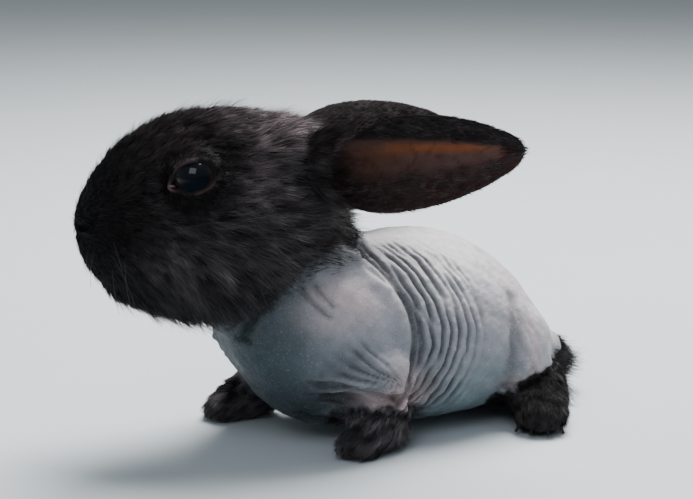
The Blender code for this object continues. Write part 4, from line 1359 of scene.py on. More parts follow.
class Ear:
    """The shape of one ear, as a sheet with t along it and u from one rim to the other."""

    def __init__(self, side):
        self.side = side
        self.base = from_head(EAR_BASE * (1, side, 1))
        if side < 0:
            along, opening = (0.866, -0.5, 0.03), (-0.48, -0.86, -0.16)
        else:
            self.base = self.base - (0, 0, 3.8)
            along, opening = (0.95, 0.17, 0.075), (-0.1, 0.95, -0.2)
        self.along = unit(np.array(along))
        opening = np.array(opening)
        self.opening = unit(opening - self.along * (opening @ self.along))
        self.across = np.cross(self.along, self.opening)
        self.rows = through(EAR_PROFILE, 400)

    def sheet(self, t, u, lift=0.0):
        """Places on the sheet, lifted towards its outside, and the way that the outside faces."""
        t, u = np.broadcast_arrays(np.clip(t, 0, 1), u)
        half = np.interp(t, self.rows[:, 0], self.rows[:, 1])
        wrap = np.radians(np.interp(t, self.rows[:, 0], self.rows[:, 2]))
        radius = half / np.where(wrap < math.pi / 2, np.sin(wrap), 1.0)
        sag = 2.0 * np.sin(math.pi * t)
        centre_lift = (radius - sag)[..., None]
        middle = self.base + self.along * (EAR_LENGTH * t)[..., None] + self.opening * centre_lift
        turn = wrap * u
        out = -self.opening * np.cos(turn)[..., None] + self.across * np.sin(turn)[..., None]
        return middle + out * (radius + lift)[..., None], out

    def thickness(self, t):
        """The gristle is thinner towards the tip."""
        return 0.62 * (1.25 - 0.55 * np.asarray(t))


# %% Ear shells
ear_hide, tree, shader = new_material(
    "ear_hide", Roughness=0.75, Specular_IOR_Level=0.08,
    Subsurface_Weight=0.15, Subsurface_Radius=(1.0, 0.35, 0.15), Subsurface_Scale=0.003,
)
where = node(tree, "ShaderNodeTexCoord").outputs["Object"]
pulled = node(tree, "ShaderNodeMapping", {"Vector": where, "Scale": (160.0, 420.0, 420.0)})
streak = node(tree, "ShaderNodeTexNoise", {"Vector": pulled, "Scale": 1.0, "Detail": 4.0})
fine = node(tree, "ShaderNodeGroup", {"Scale": 1000.0}, node_tree=skin_grain)
inked = shaded(tree, stored(tree, "colour_and_painted_light"), streak, 0.6, 1.35)
fill(tree, shader, {"Base Color": inked, "Normal": fine.outputs["Normal"]})


def veins(t, u, seed):
    """Fine branching lines of the ear's skin, from 0 to 1."""
    flat = np.column_stack([t * 9, u * 3.2, np.zeros(len(t))])
    bend = waver(flat, 3.5, seed) + 0.5 * waver(flat, 1.4, seed + 1)
    return bell(bend, 0, 0.10) * smooth_step(t, 0.15, 0.3)


def ear_colour(t, u, inner):
    """The colour of the ear's skin, with painted light shining through the cup. u runs from the
    lower rim at -1 to the upper one at 1.
    """
    colour = np.tile([0.010, 0.008, 0.0085], (len(t), 1))
    cup = hump(u, -0.50, -0.26, 0.13, 0.24)
    cup *= hump(t, 0.14, 0.28, 0.88, 0.97) * inner
    colour = blend(colour, (0.080, 0.048, 0.041), cup)
    lower = smooth_step(-u, 0.2, 0.5) * smooth_step(t, 0.2, 0.4) * inner
    colour = blend(colour, (0.052, 0.033, 0.032), 0.8 * lower)
    # Painted light: a warm streak and glow where light would shine through the thin cup.
    lit_through_streak = bell(u, 0.05, 0.085)
    lit_through_streak *= hump(t, 0.30, 0.46, 0.74, 0.95)
    colour = blend(colour, (0.200, 0.062, 0.020), 0.85 * lit_through_streak * inner)
    lit_through_glow = bell(u, -0.08, 0.20) * bell(t, 0.33, 0.13)
    colour = blend(colour, (0.105, 0.045, 0.029), 0.6 * lit_through_glow * inner)
    line = veins(t, u, 41)
    return blend(colour, (0.022, 0.009, 0.008), 0.45 * line * cup)


ears = {"left": Ear(-1), "right": Ear(1)}
# Which end of u is the upper rim of an ear.
UPPER = {}
for name, ear in ears.items():
    low, high = (ear.sheet(np.array([0.45]), np.array([u]))[0][0, 2] for u in (-1.0, 1.0))
    UPPER[name] = 1 if high > low else -1
print("upper rims", UPPER)
EAR_RINGS, HALF_RING = 84, 30
for name, ear in ears.items():
    rings, facts = [], []
    for at in np.linspace(0, 1, EAR_RINGS) ** 0.92:
        thick = float(ear.thickness(at))
        ring, fact = [], []
        for way in (1, -1):
            u = way * np.linspace(-1, 1, HALF_RING)
            places, _ = ear.sheet(at, u, way * thick / 2)
            ring.append(places)
            fact.append(np.column_stack([np.full(HALF_RING, at), u, np.full(HALF_RING, way < 0)]))
            rim, _ = ear.sheet(at, np.array([way * (1 + 0.03)]), 0.0)
            ring.append(rim)
            fact.append([[at, way, 0.5]])
        rings.append(np.vstack(ring))
        facts.append(np.vstack(fact))
    ear_places, ear_faces = capped(np.array(rings))
    t, u, inner = np.vstack(facts + [[[0, 0, 0]], [[1, 0, 0]]]).T
    ridge = 0.30 * bell(u * UPPER[name], 0.14, 0.06) * inner
    ridge *= hump(t, 0.1, 0.3, 0.6, 0.9)
    _, outwards = ear.sheet(t, u)
    ear_places = ear_places - outwards * (ridge + 0.10 * waver(ear_places, 7, 44))[:, None]
    title = "ear_shell_" + name
    shell = shown(title, mesh_of(title, ear_places, ear_faces), ear_hide)
    store_colour(shell.data, ear_colour(t, u * UPPER[name], inner))
    face_outwards(shell.data)
    shell.data.shade_smooth()
    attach(shell, "root")
    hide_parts("ear_" + name)
    print("ear", name, len(shell.data.polygons), "faces")

# %% [markdown]
# The coat is about 300,000 fine tapered blades. Each stands for a few hairs that stick
# together, is rooted in the skin, rises a little and bends over to lie along the body. Hair
# particles could do this, but only a real mesh can be carried to other programs. Roots are
# scattered evenly by area, then thinned where the coat fades out, and neighbours lean
# together into locks. Every blade has a small patch on the map named OFBake, at the place of
# its root on the unrolled skin.


# %% Scattering roots
def scatter(places, normals, triangles, density, seed):
    """Roots spread over triangles, with density for each square millimetre at each triangle."""
    own = np.random.default_rng(seed)
    a, b, c = places[triangles[:, 0]], places[triangles[:, 1]], places[triangles[:, 2]]
    area = 0.5 * norm(np.cross(b - a, c - a))
    count = own.poisson(area * density)
    pick = np.repeat(np.arange(len(triangles)), count)
    first, second = own.random((2, len(pick), 1))
    over = first + second > 1
    first, second = np.where(over, 1 - first, first), np.where(over, 1 - second, second)
    roots = a[pick] + first * (b[pick] - a[pick]) + second * (c[pick] - a[pick])
    corners = normals[triangles[pick]]
    ups = corners[:, 0] * (1 - first - second) + corners[:, 1] * first + corners[:, 2] * second
    return roots, unit(ups)


def unrolled(places, middle, axis, low, high):
    """The places on a map of the form unrolled about an axis, from 0 to 1 each way."""
    axis = unit(np.array(axis, float))
    side = unit(np.cross(axis, (0.0, 0.1, 1.0)))
    rise = np.cross(side, axis)
    away = places - np.array(middle)
    turn = np.arctan2(away @ side, -(away @ rise)) / (2 * math.pi) + 0.5
    along = np.clip((away @ axis - low) / (high - low), 0, 1)
    return np.column_stack([0.004 + 0.992 * turn, 0.004 + 0.992 * along])


# %% Building blades
# The size of a blade's patch on the map.
PATCH = 0.003
PIECE_TRIANGLES = 188000


def blade_mesh(name, places, colours, maps, rows):
    """One mesh of blades. places is blades by corners by 3, with rows pairs and a tip each."""
    count, corners = places.shape[:2]
    start = np.arange(count)[:, None] * corners
    pairs = rows - 1
    loops, sizes = [], []
    for i in range(pairs - 1):
        loops.append(start + np.array([2 * i, 2 * i + 1, 2 * i + 3, 2 * i + 2]))
        sizes.append(4)
    loops.append(start + np.array([2 * pairs - 2, 2 * pairs - 1, 2 * pairs]))
    sizes.append(3)
    loops = np.hstack(loops).ravel()
    sizes = np.tile(sizes, count)
    mesh = bpy.data.meshes.new(name)
    mesh.vertices.add(count * corners)
    mesh.vertices.foreach_set("co", metres(places.reshape(-1, 3)).ravel())
    mesh.loops.add(len(loops))
    mesh.loops.foreach_set("vertex_index", loops)
    mesh.polygons.add(len(sizes))
    mesh.polygons.foreach_set("loop_start", np.concatenate([[0], np.cumsum(sizes)[:-1]]))
    mesh.polygons.foreach_set("loop_total", sizes)
    mesh.update(calc_edges=True)
    layer = mesh.uv_layers.new(name="OFBake")
    layer.data.foreach_set("uv", maps.reshape(-1, 2)[loops].ravel())
    store_colour(mesh, colours.reshape(-1, 3))
    mesh.shade_smooth()
    return mesh


def grow(
    name, material, slot, roots, ups, lies, spots, colours, lengths, widths, lifts, seed,
    lock=40, lean=0.5, rows=4, wild=0.10,
):
    """Blades from roots, in pieces that each stay under the limit of triangles.

    ups are the skin's normals at the roots, lies the way of the hair, spots the places on the
    map, and lifts the angles from the skin in degrees. About as many blades as lock says lean
    together. rows counts a blade's pairs of places and its tip.
    """
    own = np.random.default_rng(seed)
    count = len(roots)
    lengths, widths, lifts = (np.broadcast_to(v, count) for v in (lengths, widths, lifts))
    lies = unit(lies - ups * (lies * ups).sum(1)[:, None])
    across = np.cross(ups, lies)
    lies = unit(lies + across * own.normal(0, wild, count)[:, None])
    across = np.cross(ups, lies)
    lengths = lengths * own.uniform(0.72, 1.18, count)
    lifts = np.radians(lifts) * own.uniform(0.6, 1.45, count)
    sideways = own.normal(0, 0.07, count) + 0.10 * waver(roots, 5, seed + 1)

    # Neighbours form a lock, and share its lean, length, lift and tone.
    middles = own.choice(count, max(count // lock, 1), replace=False)
    tree = KDTree(len(middles))
    for i, at in enumerate(middles):
        tree.insert(roots[at], i)
    tree.balance()
    nearest = np.array([tree.find(root)[1] for root in roots])
    pull = roots[middles][nearest] - roots
    pull -= ups * (pull * ups).sum(1)[:, None]
    share = (lean * own.uniform(0.5, 1.2, count))[:, None]
    lengths = lengths * own.uniform(0.72, 1.32, len(middles))[nearest]
    lifts = lifts * own.uniform(0.6, 1.5, len(middles))[nearest]
    tone = own.uniform(0.55, 1.55, len(middles))[nearest] * own.uniform(0.75, 1.3, count)
    tone *= 1 + 0.28 * waver(roots, 4.5, seed + 2)
    roll = own.normal(0, 0.8, count)[:, None]
    edge = np.cos(roll) * across + np.sin(roll) * ups

    # Each blade rises from under the skin, bends over, and narrows to its tip.
    places, shades = np.zeros((2, count, 2 * rows - 1, 3))
    maps = np.zeros((count, 2 * rows - 1, 2))
    for i, step in enumerate(np.linspace(0, 1, rows) ** 0.92):
        rise = -0.04 - 0.02 * lengths + lengths * (np.sin(lifts) * (step - 0.42 * step**2))
        run = lengths * np.cos(0.6 * lifts) * step
        spine = roots + ups * rise[:, None] + lies * run[:, None]
        spine = spine + across * (sideways * lengths * step**2)[:, None] + pull * share * step**1.3
        spine[:, 2] = np.maximum(spine[:, 2], SPINE_FLOOR)
        wide = widths * (1 - step**1.6) * 0.5
        shade = colours * (tone * (0.70 + 0.55 * step))[:, None]
        if i < rows - 1:
            for j, way in enumerate((-1, 1)):
                places[:, 2 * i + j] = spine + edge * (way * wide)[:, None]
                shades[:, 2 * i + j] = shade
                maps[:, 2 * i + j] = spots + PATCH * np.array([0.5 * way, step - 0.5])
        else:
            places[:, -1] = spine
            shades[:, -1] = shade
            maps[:, -1] = spots + PATCH * np.array([0.0, 0.5])
    places[:, :, 2] = np.maximum(places[:, :, 2], BLADE_FLOOR)
    shades = np.clip(shades, 0.001, 1)
    maps = np.clip(maps, 0, 1)

    faces_each = 2 * (rows - 2) + 1
    parts = int(math.ceil(count * faces_each / PIECE_TRIANGLES))
    order = np.argsort(spots[:, 1], kind="stable")
    for i, chosen in enumerate(np.array_split(order, parts)):
        title = name if parts == 1 else f"{name}_{i + 1}"
        mesh = blade_mesh(title, places[chosen], shades[chosen], maps[chosen], rows)
        piece = shown(title, mesh, material)
        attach(piece, "root")
    print(name, count, "blades,", count * faces_each, "triangles in", parts, "pieces")
    return count * faces_each


# %% Coat material
coat_hair = hair_look(
    "coat_hair", Roughness=0.5, Specular_IOR_Level=0.13,
    Sheen_Weight=0.05, Sheen_Roughness=0.4, Sheen_Tint=(0.90, 0.80, 0.80, 1),
)
ear_hair = hair_look("ear_hair", even=True, Roughness=0.7, Specular_IOR_Level=0.06)

# %% [markdown]
# On the head the hair starts at the nose and runs back, flat and short on the muzzle and
# brow, longer and downwards over the cheeks, and longest at the jaw and the nape, where it
# hangs past the edge. It parts round the eye.


# %% The lie of the coat on head and neck
def head_lie(places):
    """The way that the hair lies on the head and neck."""
    local = to_head(places)
    x, _, z = local.T
    from_nose = unit(local - (-37, 0, -2))
    droop = -0.02 - 0.95 * smooth_step(-z, -6, 20) * (1 - 0.5 * smooth_step(x, 10, 28))
    back_way = unit(np.column_stack([np.ones(len(local)), 0 * droop, droop]))
    near = smooth_step(-x, 8, 27)[:, None]
    way = back_way * (1 - near) + from_nose * near
    for side in (-1, 1):
        away = local - EYE_PLACE * (1, side, 1)
        gap = norm(away)
        way = way + unit(away) * (1.1 * (1 - smooth_step(gap, 6, 12)))[:, None]
    way = unit(way @ HEAD_AXES.T)
    nape = smooth_step(places[:, 0], -40, -26)[:, None] * smooth_step(x, 8, 20)[:, None]
    return unit(way * (1 - nape) + unit(np.array([0.90, -0.10, -0.42])) * nape)


def head_length(places):
    """The length of the hair: short on the face, long at the jaw, the crown and the nape."""
    local = to_head(places)
    x, _, z = local.T
    nose = norm(local - (-32, 0, -5))
    long = 0.8 + 2.0 * smooth_step(nose, 3, 24)
    long += smooth_step(z, 8, 17) * smooth_step(x, -20, -4)
    long += 2.6 * (smooth_step(x, -18, 4) * smooth_step(-z, -6, 10))
    jaw = smooth_step(-z, 12, 24) * smooth_step(x, -26, -10)
    long += 3.4 * jaw + 2.6 * jaw * np.clip(waver(places, 3.2, 192) + 0.2, 0, 1)
    nape = smooth_step(x, 8, 22)
    long += 2.6 * nape + 0.8 * nape * smooth_step(places[:, 0], -36, -24)
    for side in (-1, 1):
        gap = norm(local - EYE_PLACE * (1, side, 1))
        long *= 0.45 + 0.55 * smooth_step(gap, 7.0, 14)
    return long * (0.28 + 0.72 * smooth_step(past_line(places, COAT_EDGE), -4, 8))


def coat_tint(places, ups):
    """The coat's colour: black, with painted brownish sheen where the blades face up on the head
    and painted shade where they face down.
    """
    local = to_head(places)
    x, y, z = local.T
    on_head = smooth_step(places[:, 2], 24, 36)
    # Painted sheen: blades that face up on the head are lightened and browned as if lit from above,
    # most on the crown.
    top = smooth_step(ups[:, 2], -0.10, 0.75) * on_head
    crown = hump(x, -2, 14, 19, 28)
    # Painted shade: blades that face down under the head are darkened.
    under = smooth_step(-ups[:, 2], -0.1, 0.6) * on_head * (x < 14)
    layers = [
        ((0.022, 0.020, 0.021), smooth_step(places[:, 0], -8, 8)),
        ((0.041, 0.0365, 0.0385), on_head),
        ((0.0050, 0.0046, 0.0052), 0.9 * (smooth_step(-x, 4, 20) * on_head)),
        ((0.0070, 0.0065, 0.0072), 0.7 * under),
    ]
    dark_brow = np.zeros(len(places))
    for side in (-1, 1):
        away = norm(places - eye_middle(side))
        layers.append(((0.0045, 0.0040, 0.0045), 0.85 * (1 - smooth_step(away, 8, 14))))
        brow = blot(local, EYE_PLACE * (1, side, 1) + (5.5, 0, 5.5), (9, 9, 6))
        dark_brow = np.maximum(dark_brow, brow)
    layers += [
        ((0.040, 0.031, 0.033), 0.85 * top * smooth_step(x, -26, -10)),
        ((0.165, 0.132, 0.138), 0.8 * top * crown),
        ((0.034, 0.031, 0.033), 0.85 * (smooth_step(x, 20, 30) * on_head)),
        ((0.0040, 0.0036, 0.0040), 0.92 * dark_brow),
        ((0.074, 0.066, 0.070), 0.75 * blot(local, (-8, 0, -12), (9, 40, 6))),
    ]
    colour = np.tile([0.075, 0.068, 0.073], (len(places), 1))
    for tint, share in layers:
        colour = blend(colour, tint, share)
    flow = np.column_stack([0.35 * x + 0.2 * z, y, z])
    streaks = 1 + 0.62 * waver(flow, 3.0, 191) * smooth_step(x, -22, -6)
    return colour * np.clip(streaks, 0.30, 2.2)[:, None]


def coat(name, roots, ups, way, spots, *sizes, **settings):
    """Blades of the black coat, coloured by their places."""
    tint = coat_tint(roots, ups)
    return grow(name, coat_hair, "black_coat", roots, ups, way, spots, tint, *sizes, **settings)


# %% Roots on the furred skin
places, normals = places_of(skin.data), normals_of(skin.data)
triangles = triangles_of(skin.data)
spot = places[triangles].mean(1)
x, y, z = spot.T
cover = smooth_step(furred(spot), 0.02, 0.75)
for side in (-1, 1):
    gap, lean, _, past, _ = seen_from_eye(spot, side)
    cover = cover * np.where((gap < 9.5) & (lean < 1.6), smooth_step(past, 5, 9), 1.0)
head_zone = (z - 0.5 * (x + 40) > 22) & (x < 5) & (z > 22)
straying = 0.30 * smooth_step(past_line(spot, COAT_EDGE) + 1.5 * waver(spot, 5, 100), -8, 0)
cover = np.where(head_zone, np.maximum(cover, straying), cover)
face = smooth_step(-to_head(spot)[:, 0], 0, 20)
density = np.where(head_zone, 12.0 + 8.0 * face, 0.0) * cover
for side in (-1, 1):
    density *= 1 + 0.8 * (norm(spot - eye_middle(side)) < 11)
for side in (-1, 1):
    for _, _, line in NOSE_LINES[:2]:
        density *= 1 - 0.92 * near_line(spot, mirrored(line, side), 0.9)
    density *= 1 - 0.8 * near_line(spot, mirrored(LIP_LINE, side), 0.5)
roots, ups = scatter(places, normals, triangles, density, 101)
print("head roots", len(roots))
lengths = head_length(roots)
local = to_head(roots)
nose_gap = norm(local - (-31, 0, -5))
# Near the eyes the blades lie calmer, and lean a little away from the globe.
calm = np.ones(len(roots))
for side in (-1, 1):
    out = roots - eye_middle(side)
    near = 1 - smooth_step(norm(out), 8, 13)
    ups = unit(ups * (1 - 0.25 * near)[:, None] + unit(out) * (0.25 * near)[:, None])
    calm -= 0.15 * near
lifts = 24 + 8 * smooth_step(nose_gap, 4, 22) + 4 * smooth_step(-local[:, 2], 8, 22)
lifts = lifts + 20 * smooth_step(-ups[:, 2], 0.2, 0.8) * smooth_step(local[:, 0], -27, -18)
lifts = lifts * calm
spots = unrolled(roots, HEAD_CENTRE, HEAD_AXES[:, 0], -34, 52)
wide = 0.10 + 0.016 * lengths
lie = head_lie(roots)
total = coat("coat_head", roots, ups, lie, spots, lengths, wide, lifts, 102, lean=0.55)
# One hair in five has a longer guard hair beside it.
guard = np.random.default_rng(103).random(len(roots)) < 0.20
lengths, lifts = 1.35 * lengths[guard] + 0.4, lifts[guard] + 18
total += coat(
    "guard_head", roots[guard], ups[guard], lie[guard], spots[guard],
    lengths, 0.085, lifts, 104, lock=14, lean=0.5, rows=3, wild=0.3,
)


# %% Feet and tail
def foot_roots(density, zone, seed):
    """Roots where a zone of the skin is furred, but not under the sole."""
    return scatter(places, normals, triangles, density * zone * cover * (z > 0.8), seed)


def foot_length(roots, short, more, low, high):
    """The length of a foot's hair, which grows longer towards the sole."""
    long = short + more * smooth_step(-roots[:, 2], low, high)
    return long * (0.4 + 0.6 * furred(roots))


for name, (side, reach, toe_out) in LEGS.items():
    fore_x = -16 - reach
    zone = (np.abs(x - fore_x) < 20) & (np.abs(y - side * 23) < 14) & (z < 16)
    roots, ups = foot_roots(20.0, zone, 110 + side)
    wrist = np.array([-11.5 - reach, side * 21.0, 9])
    way = unit((roots - wrist) * (1, 1, 0)) * 0.9 + (-0.45, 0.1 * side, -0.75)
    total += coat(
        "coat_forefoot_" + name, roots, ups, way,
        unrolled(roots, (fore_x, side * 22, 6), (-1, 0, 0), -18, 22),
        foot_length(roots, 1.6, 1.8, -13, -5), 0.10, 22, 120 + side, lean=0.35, wild=0.14,
    )
    ahead = toes_ahead(side, toe_out)
    middle = heel_at(side, 6) + ahead * 10
    zone = (norm((spot - middle) * (1, 1, 0.8)) < 25) & (z < 18)
    zone &= (y * side > 1.5) & (x > 18) & (x < 66)
    roots, ups = foot_roots(19.0, zone, 130 + side)
    way = unit((roots - heel_at(side, 8)) * (1, 1, 0.3)) * 0.7 + ahead * 0.5 + (0, 0, -0.6)
    total += coat(
        "coat_hindfoot_" + name, roots, ups, way, unrolled(roots, middle, ahead, -22, 24),
        foot_length(roots, 1.7, 1.5, -15, -6), 0.10, 22, 140 + side, lean=0.35, wild=0.14,
    )
zone = (egg_reach(spot, (56, 0, 6), (12, 11, 15)) > -1) & (np.abs(y) < 10)
roots, ups = foot_roots(20.0, zone, 150)
total += coat(
    "coat_tail", roots, ups, unit(roots - (44, 0, 12)) + (0.35, 0, -0.55),
    unrolled(roots, (52, 0, 12), (1, 0, 0), -12, 14),
    8.0 * (0.3 + 0.7 * furred(roots)), 0.12, 36, 151, lean=0.5, wild=0.2,
)

# %% Ears
EAR_TRIES = 60000
for name, ear in ears.items():
    own = np.random.default_rng(160 + ear.side)
    t, u = own.random(EAR_TRIES), own.uniform(-1, 1, EAR_TRIES)
    half = np.interp(t, ear.rows[:, 0], ear.rows[:, 1])
    wrap = np.radians(np.interp(t, ear.rows[:, 0], ear.rows[:, 2]))
    reach = half / np.where(wrap < math.pi / 2, np.sin(wrap), 1.0) * wrap
    keep = own.random(EAR_TRIES) < reach / reach.max()
    t, u = t[keep], u[keep]
    outside = own.random(len(t)) < 0.58
    # How far a place lies towards the upper rim. The cup is bare, and fur folds in over its rims.
    rise = u * UPPER[name]
    inside = np.where(rise > 0, smooth_step(rise, 0.13, 0.26), smooth_step(-rise, 0.24, 0.55))
    inside = np.maximum(inside, smooth_step(t, 0.84, 0.96))
    inside = np.maximum(inside, 1 - smooth_step(t + 0.10 * rise, 0.14, 0.30))
    keep = outside | (own.random(len(t)) < inside)
    t, u, rise, outside = t[keep], u[keep], rise[keep], outside[keep]
    roots, out = ear.sheet(t, u, np.where(outside, 1, -1) * ear.thickness(t) / 2)
    ahead, behind = (ear.sheet(np.clip(t + step, 0, 1), u)[0] for step in (0.01, -0.01))
    way = unit(ahead - behind)
    more, less = (ear.sheet(t, np.clip(u + step, -1, 1))[0] for step in (0.02, -0.02))
    facing = unit(np.cross(way, more - less))
    facing *= np.sign((facing * out).sum(1))[:, None]
    ups = np.where(outside[:, None], facing, -facing)
    to_rim = unit(more - less) * np.sign(u)[:, None]
    way = way + to_rim * (np.abs(u) ** 3 * 0.7)[:, None]
    long = (2.2 - 1.1 * smooth_step(np.abs(u), 0.6, 0.95)) * np.where(outside, 1.0, 0.8)
    root_fringe = 3.4 + 2.4 * smooth_step(-rise, 0.2, 0.8)
    long += root_fringe * (1 - smooth_step(t, 0.06, 0.30)) * outside
    spots = np.column_stack([np.where(outside, 0.25, 0.75) + 0.24 * u, 0.01 + 0.98 * t])
    tint = np.tile([0.038, 0.033, 0.035], (len(t), 1))
    tint = blend(tint, (0.026, 0.0205, 0.022), smooth_step(ups[:, 2], 0.0, 0.9) * outside)
    tint = blend(tint, (0.070, 0.050, 0.049), (~outside) * (rise < 0) * 0.8)
    total += grow(
        "coat_ear_" + name, ear_hair, "black_coat", roots, ups, way, spots, tint,
        long, 0.13, 17, 170 + ear.side, rows=3, lean=0.2, wild=0.06,
    )
print("coat triangles", total)

# %% [markdown]
# The bald skin isn't quite bare. Fine pale hairs, less than a millimetre long, lie back along
# it and give it a velvet edge in the light. They are single thin triangles, rooted and laid in
# the same way as the coat, and coloured by the skin's colours under them, painted light and
# shade included.

# %% The down on the bald skin
down_hair = hair_look("down_hair", contrast=0.9, Roughness=0.5, Specular_IOR_Level=0.3)
open_skin = 1 - smooth_step(furred(spot), 0.15, 0.6)
open_skin *= z > 3
roots, ups = scatter(places, normals, triangles, 5.5 * open_skin, 180)
tint = np.clip(colour_and_painted_light(roots, ups, np.zeros(len(roots))) * 1.35 + 0.008, 0, 0.9)
grow(
    "down_body", down_hair, "bald_skin", roots, ups, np.tile([0.85, 0.0, -0.5], (len(roots), 1)),
    unrolled(roots, (0, 0, 26), (1, 0, 0), -60, 64), tint,
    0.75, 0.055, 24, 181, rows=2, lean=0.1, wild=0.35,
)

# %% [markdown]
# Whiskers, lashes and claws are all tapered, bent spikes that differ in size, bend and
# thickness. One tree of geometry nodes makes them: a bent curve with a round profile that
# tapers to its tip is put on each root and turned to face outwards. The tree's result is kept
# as a plain mesh.

# %% The tree of nodes for spikes
def spike_tree():
    """A tree that puts a tapered, bent spike on each point, by the point's own attributes."""
    tree = bpy.data.node_groups.new("tapered_spikes", "GeometryNodeTree")
    for title, kind, way in (
        ("Roots", "NodeSocketGeometry", "INPUT"),
        ("Thickness", "NodeSocketFloat", "INPUT"),
        ("Bend", "NodeSocketFloat", "INPUT"),
        ("Unevenness", "NodeSocketFloat", "INPUT"),
        ("Sides", "NodeSocketInt", "INPUT"),
        ("Seed", "NodeSocketInt", "INPUT"),
        ("Material", "NodeSocketMaterial", "INPUT"),
        ("Spikes", "NodeSocketGeometry", "OUTPUT"),
    ):
        tree.interface.new_socket(title, in_out=way, socket_type=kind)
    entry, leaving = tree.nodes.new("NodeGroupInput"), tree.nodes.new("NodeGroupOutput")
    given = entry.outputs

    def add(kind, values=(), **settings):
        return node(tree, "GeometryNode" + kind, values, **settings)

    def read(name, kind):
        return add("InputNamedAttribute", {"Name": name}, data_type=kind)

    tip = node(tree, "ShaderNodeCombineXYZ", {"X": given["Bend"], "Z": 0.92})
    curve = {"Resolution": 9, "Start": (0, 0, 0), "Middle": (0, 0, 0.5), "End": tip}
    along = {"Value": add("SplineParameter").outputs["Factor"], "To Min": 1.0, "To Max": 0.04}
    taper = node(tree, "ShaderNodeMapRange", along)
    bent = add("SetCurveRadius", {"Curve": add("CurveQuadraticBezier", curve), "Radius": taper})
    ring = add("CurvePrimitiveCircle", {"Resolution": given["Sides"], "Radius": given["Thickness"]})
    spike = add("CurveToMesh", {"Curve": bent, "Profile Curve": ring, "Fill Caps": True})
    align = "FunctionNodeAlignRotationToVector"
    faced = node(tree, align, {"Vector": read("outwards", "FLOAT_VECTOR")}, axis="Z")
    facing = {"Rotation": faced, "Vector": read("towards", "FLOAT_VECTOR")}
    turned = node(tree, align, facing, axis="X", pivot_axis="Z")
    draw = {"Seed": given["Seed"], 2: -1.0, 3: 1.0}
    chance = node(tree, "FunctionNodeRandomValue", draw, data_type="FLOAT").outputs[1]
    grown = maths(tree, "ADD", maths(tree, "MULTIPLY", chance, given["Unevenness"]), 1.0)
    scaled = maths(tree, "MULTIPLY", grown, read("size", "FLOAT"))
    spots = {"Points": given["Roots"], "Instance": spike, "Rotation": turned, "Scale": scaled}
    real = add("RealizeInstances", {"Geometry": add("InstanceOnPoints", spots)})
    dressed = add("SetMaterial", {"Geometry": real, "Material": given["Material"]})
    fill(tree, leaving, {"Spikes": dressed})
    return tree


spikes = spike_tree()


def add_spikes(name, roots, outwards, towards, sizes, material, slot, **inputs):
    """Spikes on roots given in millimetres, kept as a plain mesh."""
    thing = shown(name, mesh_of(name, roots, []), material)
    for title, values in (("outwards", outwards), ("towards", towards)):
        store(thing.data, title, "FLOAT_VECTOR", values)
    store(thing.data, "size", "FLOAT", np.asarray(sizes, float) * MM)
    maker = thing.modifiers.new("spikes", "NODES")
    maker.node_group = spikes
    sockets = {item.name: item.identifier for item in spikes.interface.items_tree}
    for title, value in {**inputs, "Material": material}.items():
        maker[sockets[title]] = value
    applied(thing)
    thing.data.shade_smooth()
    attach(thing, "root")
    print(name, len(roots), "spikes,", count_triangles(thing.data), "triangles")


# %% Whiskers and lashes
whisker_hair = hair_look("whisker_hair", (0.050, 0.046, 0.047), Roughness=0.4)
lash_hair = hair_look("lash_hair", (0.010, 0.009, 0.010), Roughness=0.5)
# Height of a row, its first and last place along the head, its count, distance from the
# head's middle, and the length of its first whisker with what each place adds.
WHISKER_ROWS = (
    (-6.5, -28, -22, 2, 9, 8, 0.30),
    (-9.5, -27, -18, 3, 9, 8, 0.30),
    (-13.0, -23, -20, 1, 9, 8, 0.30),
    (15.5, -6, -1, 2, 12, 5.5, 0.0),
)
LASHES = 30

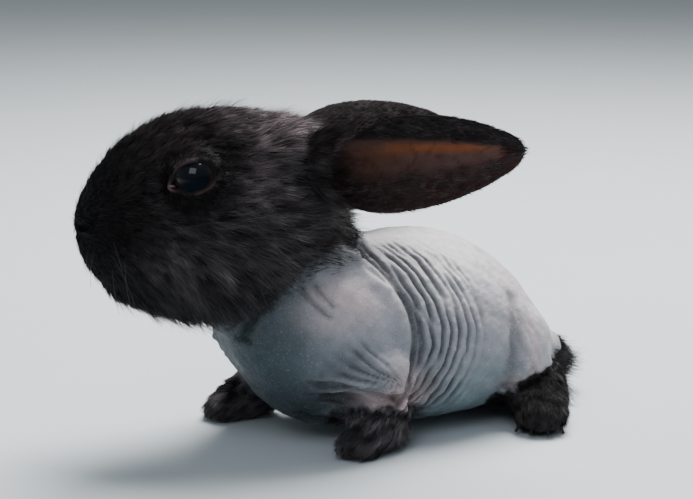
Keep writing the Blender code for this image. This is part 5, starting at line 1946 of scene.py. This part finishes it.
bpy.context.view_layer.update()
surface = BVHTree.FromObject(skin, bpy.context.evaluated_depsgraph_get())
for side, name in ((-1, "left"), (1, "right")):
    own = np.random.default_rng(190 + side)
    pads, sizes = [], []
    for height, first, last, count, out, size, more in WHISKER_ROWS:
        for at in np.linspace(first, last, count):
            pads.append((at + own.normal(0, 0.3), side * out, height + own.normal(0, 0.3)))
            sizes.append(size + more * (at + 29))
    pads = np.array(on_skin(from_head(np.array(pads)), surface))
    away = unit((to_head(pads) - (-18, 0, -6)) * (0.5, 1, 0.7)) @ HEAD_AXES.T
    away = unit(away + own.normal(0, 0.24, away.shape) + np.array([0.15, 0, -0.15]))
    down = np.tile([0.25, 0.0, -1.0], (len(pads), 1))
    add_spikes(
        "whiskers_" + name, pads, away, down, sizes, whisker_hair, "black_coat",
        Thickness=0.0036, Bend=0.55, Unevenness=0.3, Sides=4, Seed=12 + side,
    )
    turn = np.radians(np.linspace(40, 172, LASHES))
    lean = lid_edge(turn)[0] + np.radians(2.5)
    rim = eye_point(side, lean, turn, np.full(LASHES, 6.55))
    away = unit(rim - eye_middle(side))
    rise = np.tile(eye_axes(side)[1], (LASHES, 1))
    add_spikes(
        "lashes_" + name, rim, unit(away + 0.5 * rise), rise, np.full(LASHES, 1.6),
        lash_hair, "black_coat",
        Thickness=0.022, Bend=0.55, Unevenness=0.3, Sides=4, Seed=22 + side,
    )

# %% Claws
claw_horn, tree, shader = new_material("claw_horn", Roughness=0.55, Specular_IOR_Level=0.15)
where = node(tree, "ShaderNodeTexCoord").outputs["Object"]
layered = node(tree, "ShaderNodeTexNoise", {"Vector": where, "Scale": 900.0, "Detail": 2.0})
horn = mixed(tree, layered, (0.010, 0.008, 0.008, 1), (0.030, 0.024, 0.021, 1))
fill(tree, shader, {"Base Color": horn})
CLAW_LENGTH = 2.1
for name, (side, reach, toe_out) in LEGS.items():
    way = math.radians(12)
    fore_ahead = np.array([-math.cos(way), side * math.sin(way), 0])
    fore = np.array([-20.5 - reach, side * 23.0, 2.4])
    hind_ahead = toes_ahead(side, toe_out)
    hind = heel_at(side, 2.4) + hind_ahead * 22
    for title, middle, ahead, out, count in (
        ("fore", fore, fore_ahead, 5.3, 5),
        ("hind", hind, hind_ahead, 7.1, 4),
    ):
        fan = np.radians(np.linspace(-48, 48, count))
        toes = np.array([np.array(Matrix.Rotation(angle, 3, "Z")) @ ahead for angle in fan])
        add_spikes(
            f"claws_{title}_{name}", middle + toes * out, unit(toes - (0, 0, 0.45)),
            np.tile([0.0, 0.0, -1.0], (count, 1)), np.full(count, CLAW_LENGTH),
            claw_horn, "black_coat",
            Thickness=0.18, Bend=0.35, Unevenness=0.08, Sides=10, Seed=31,
        )
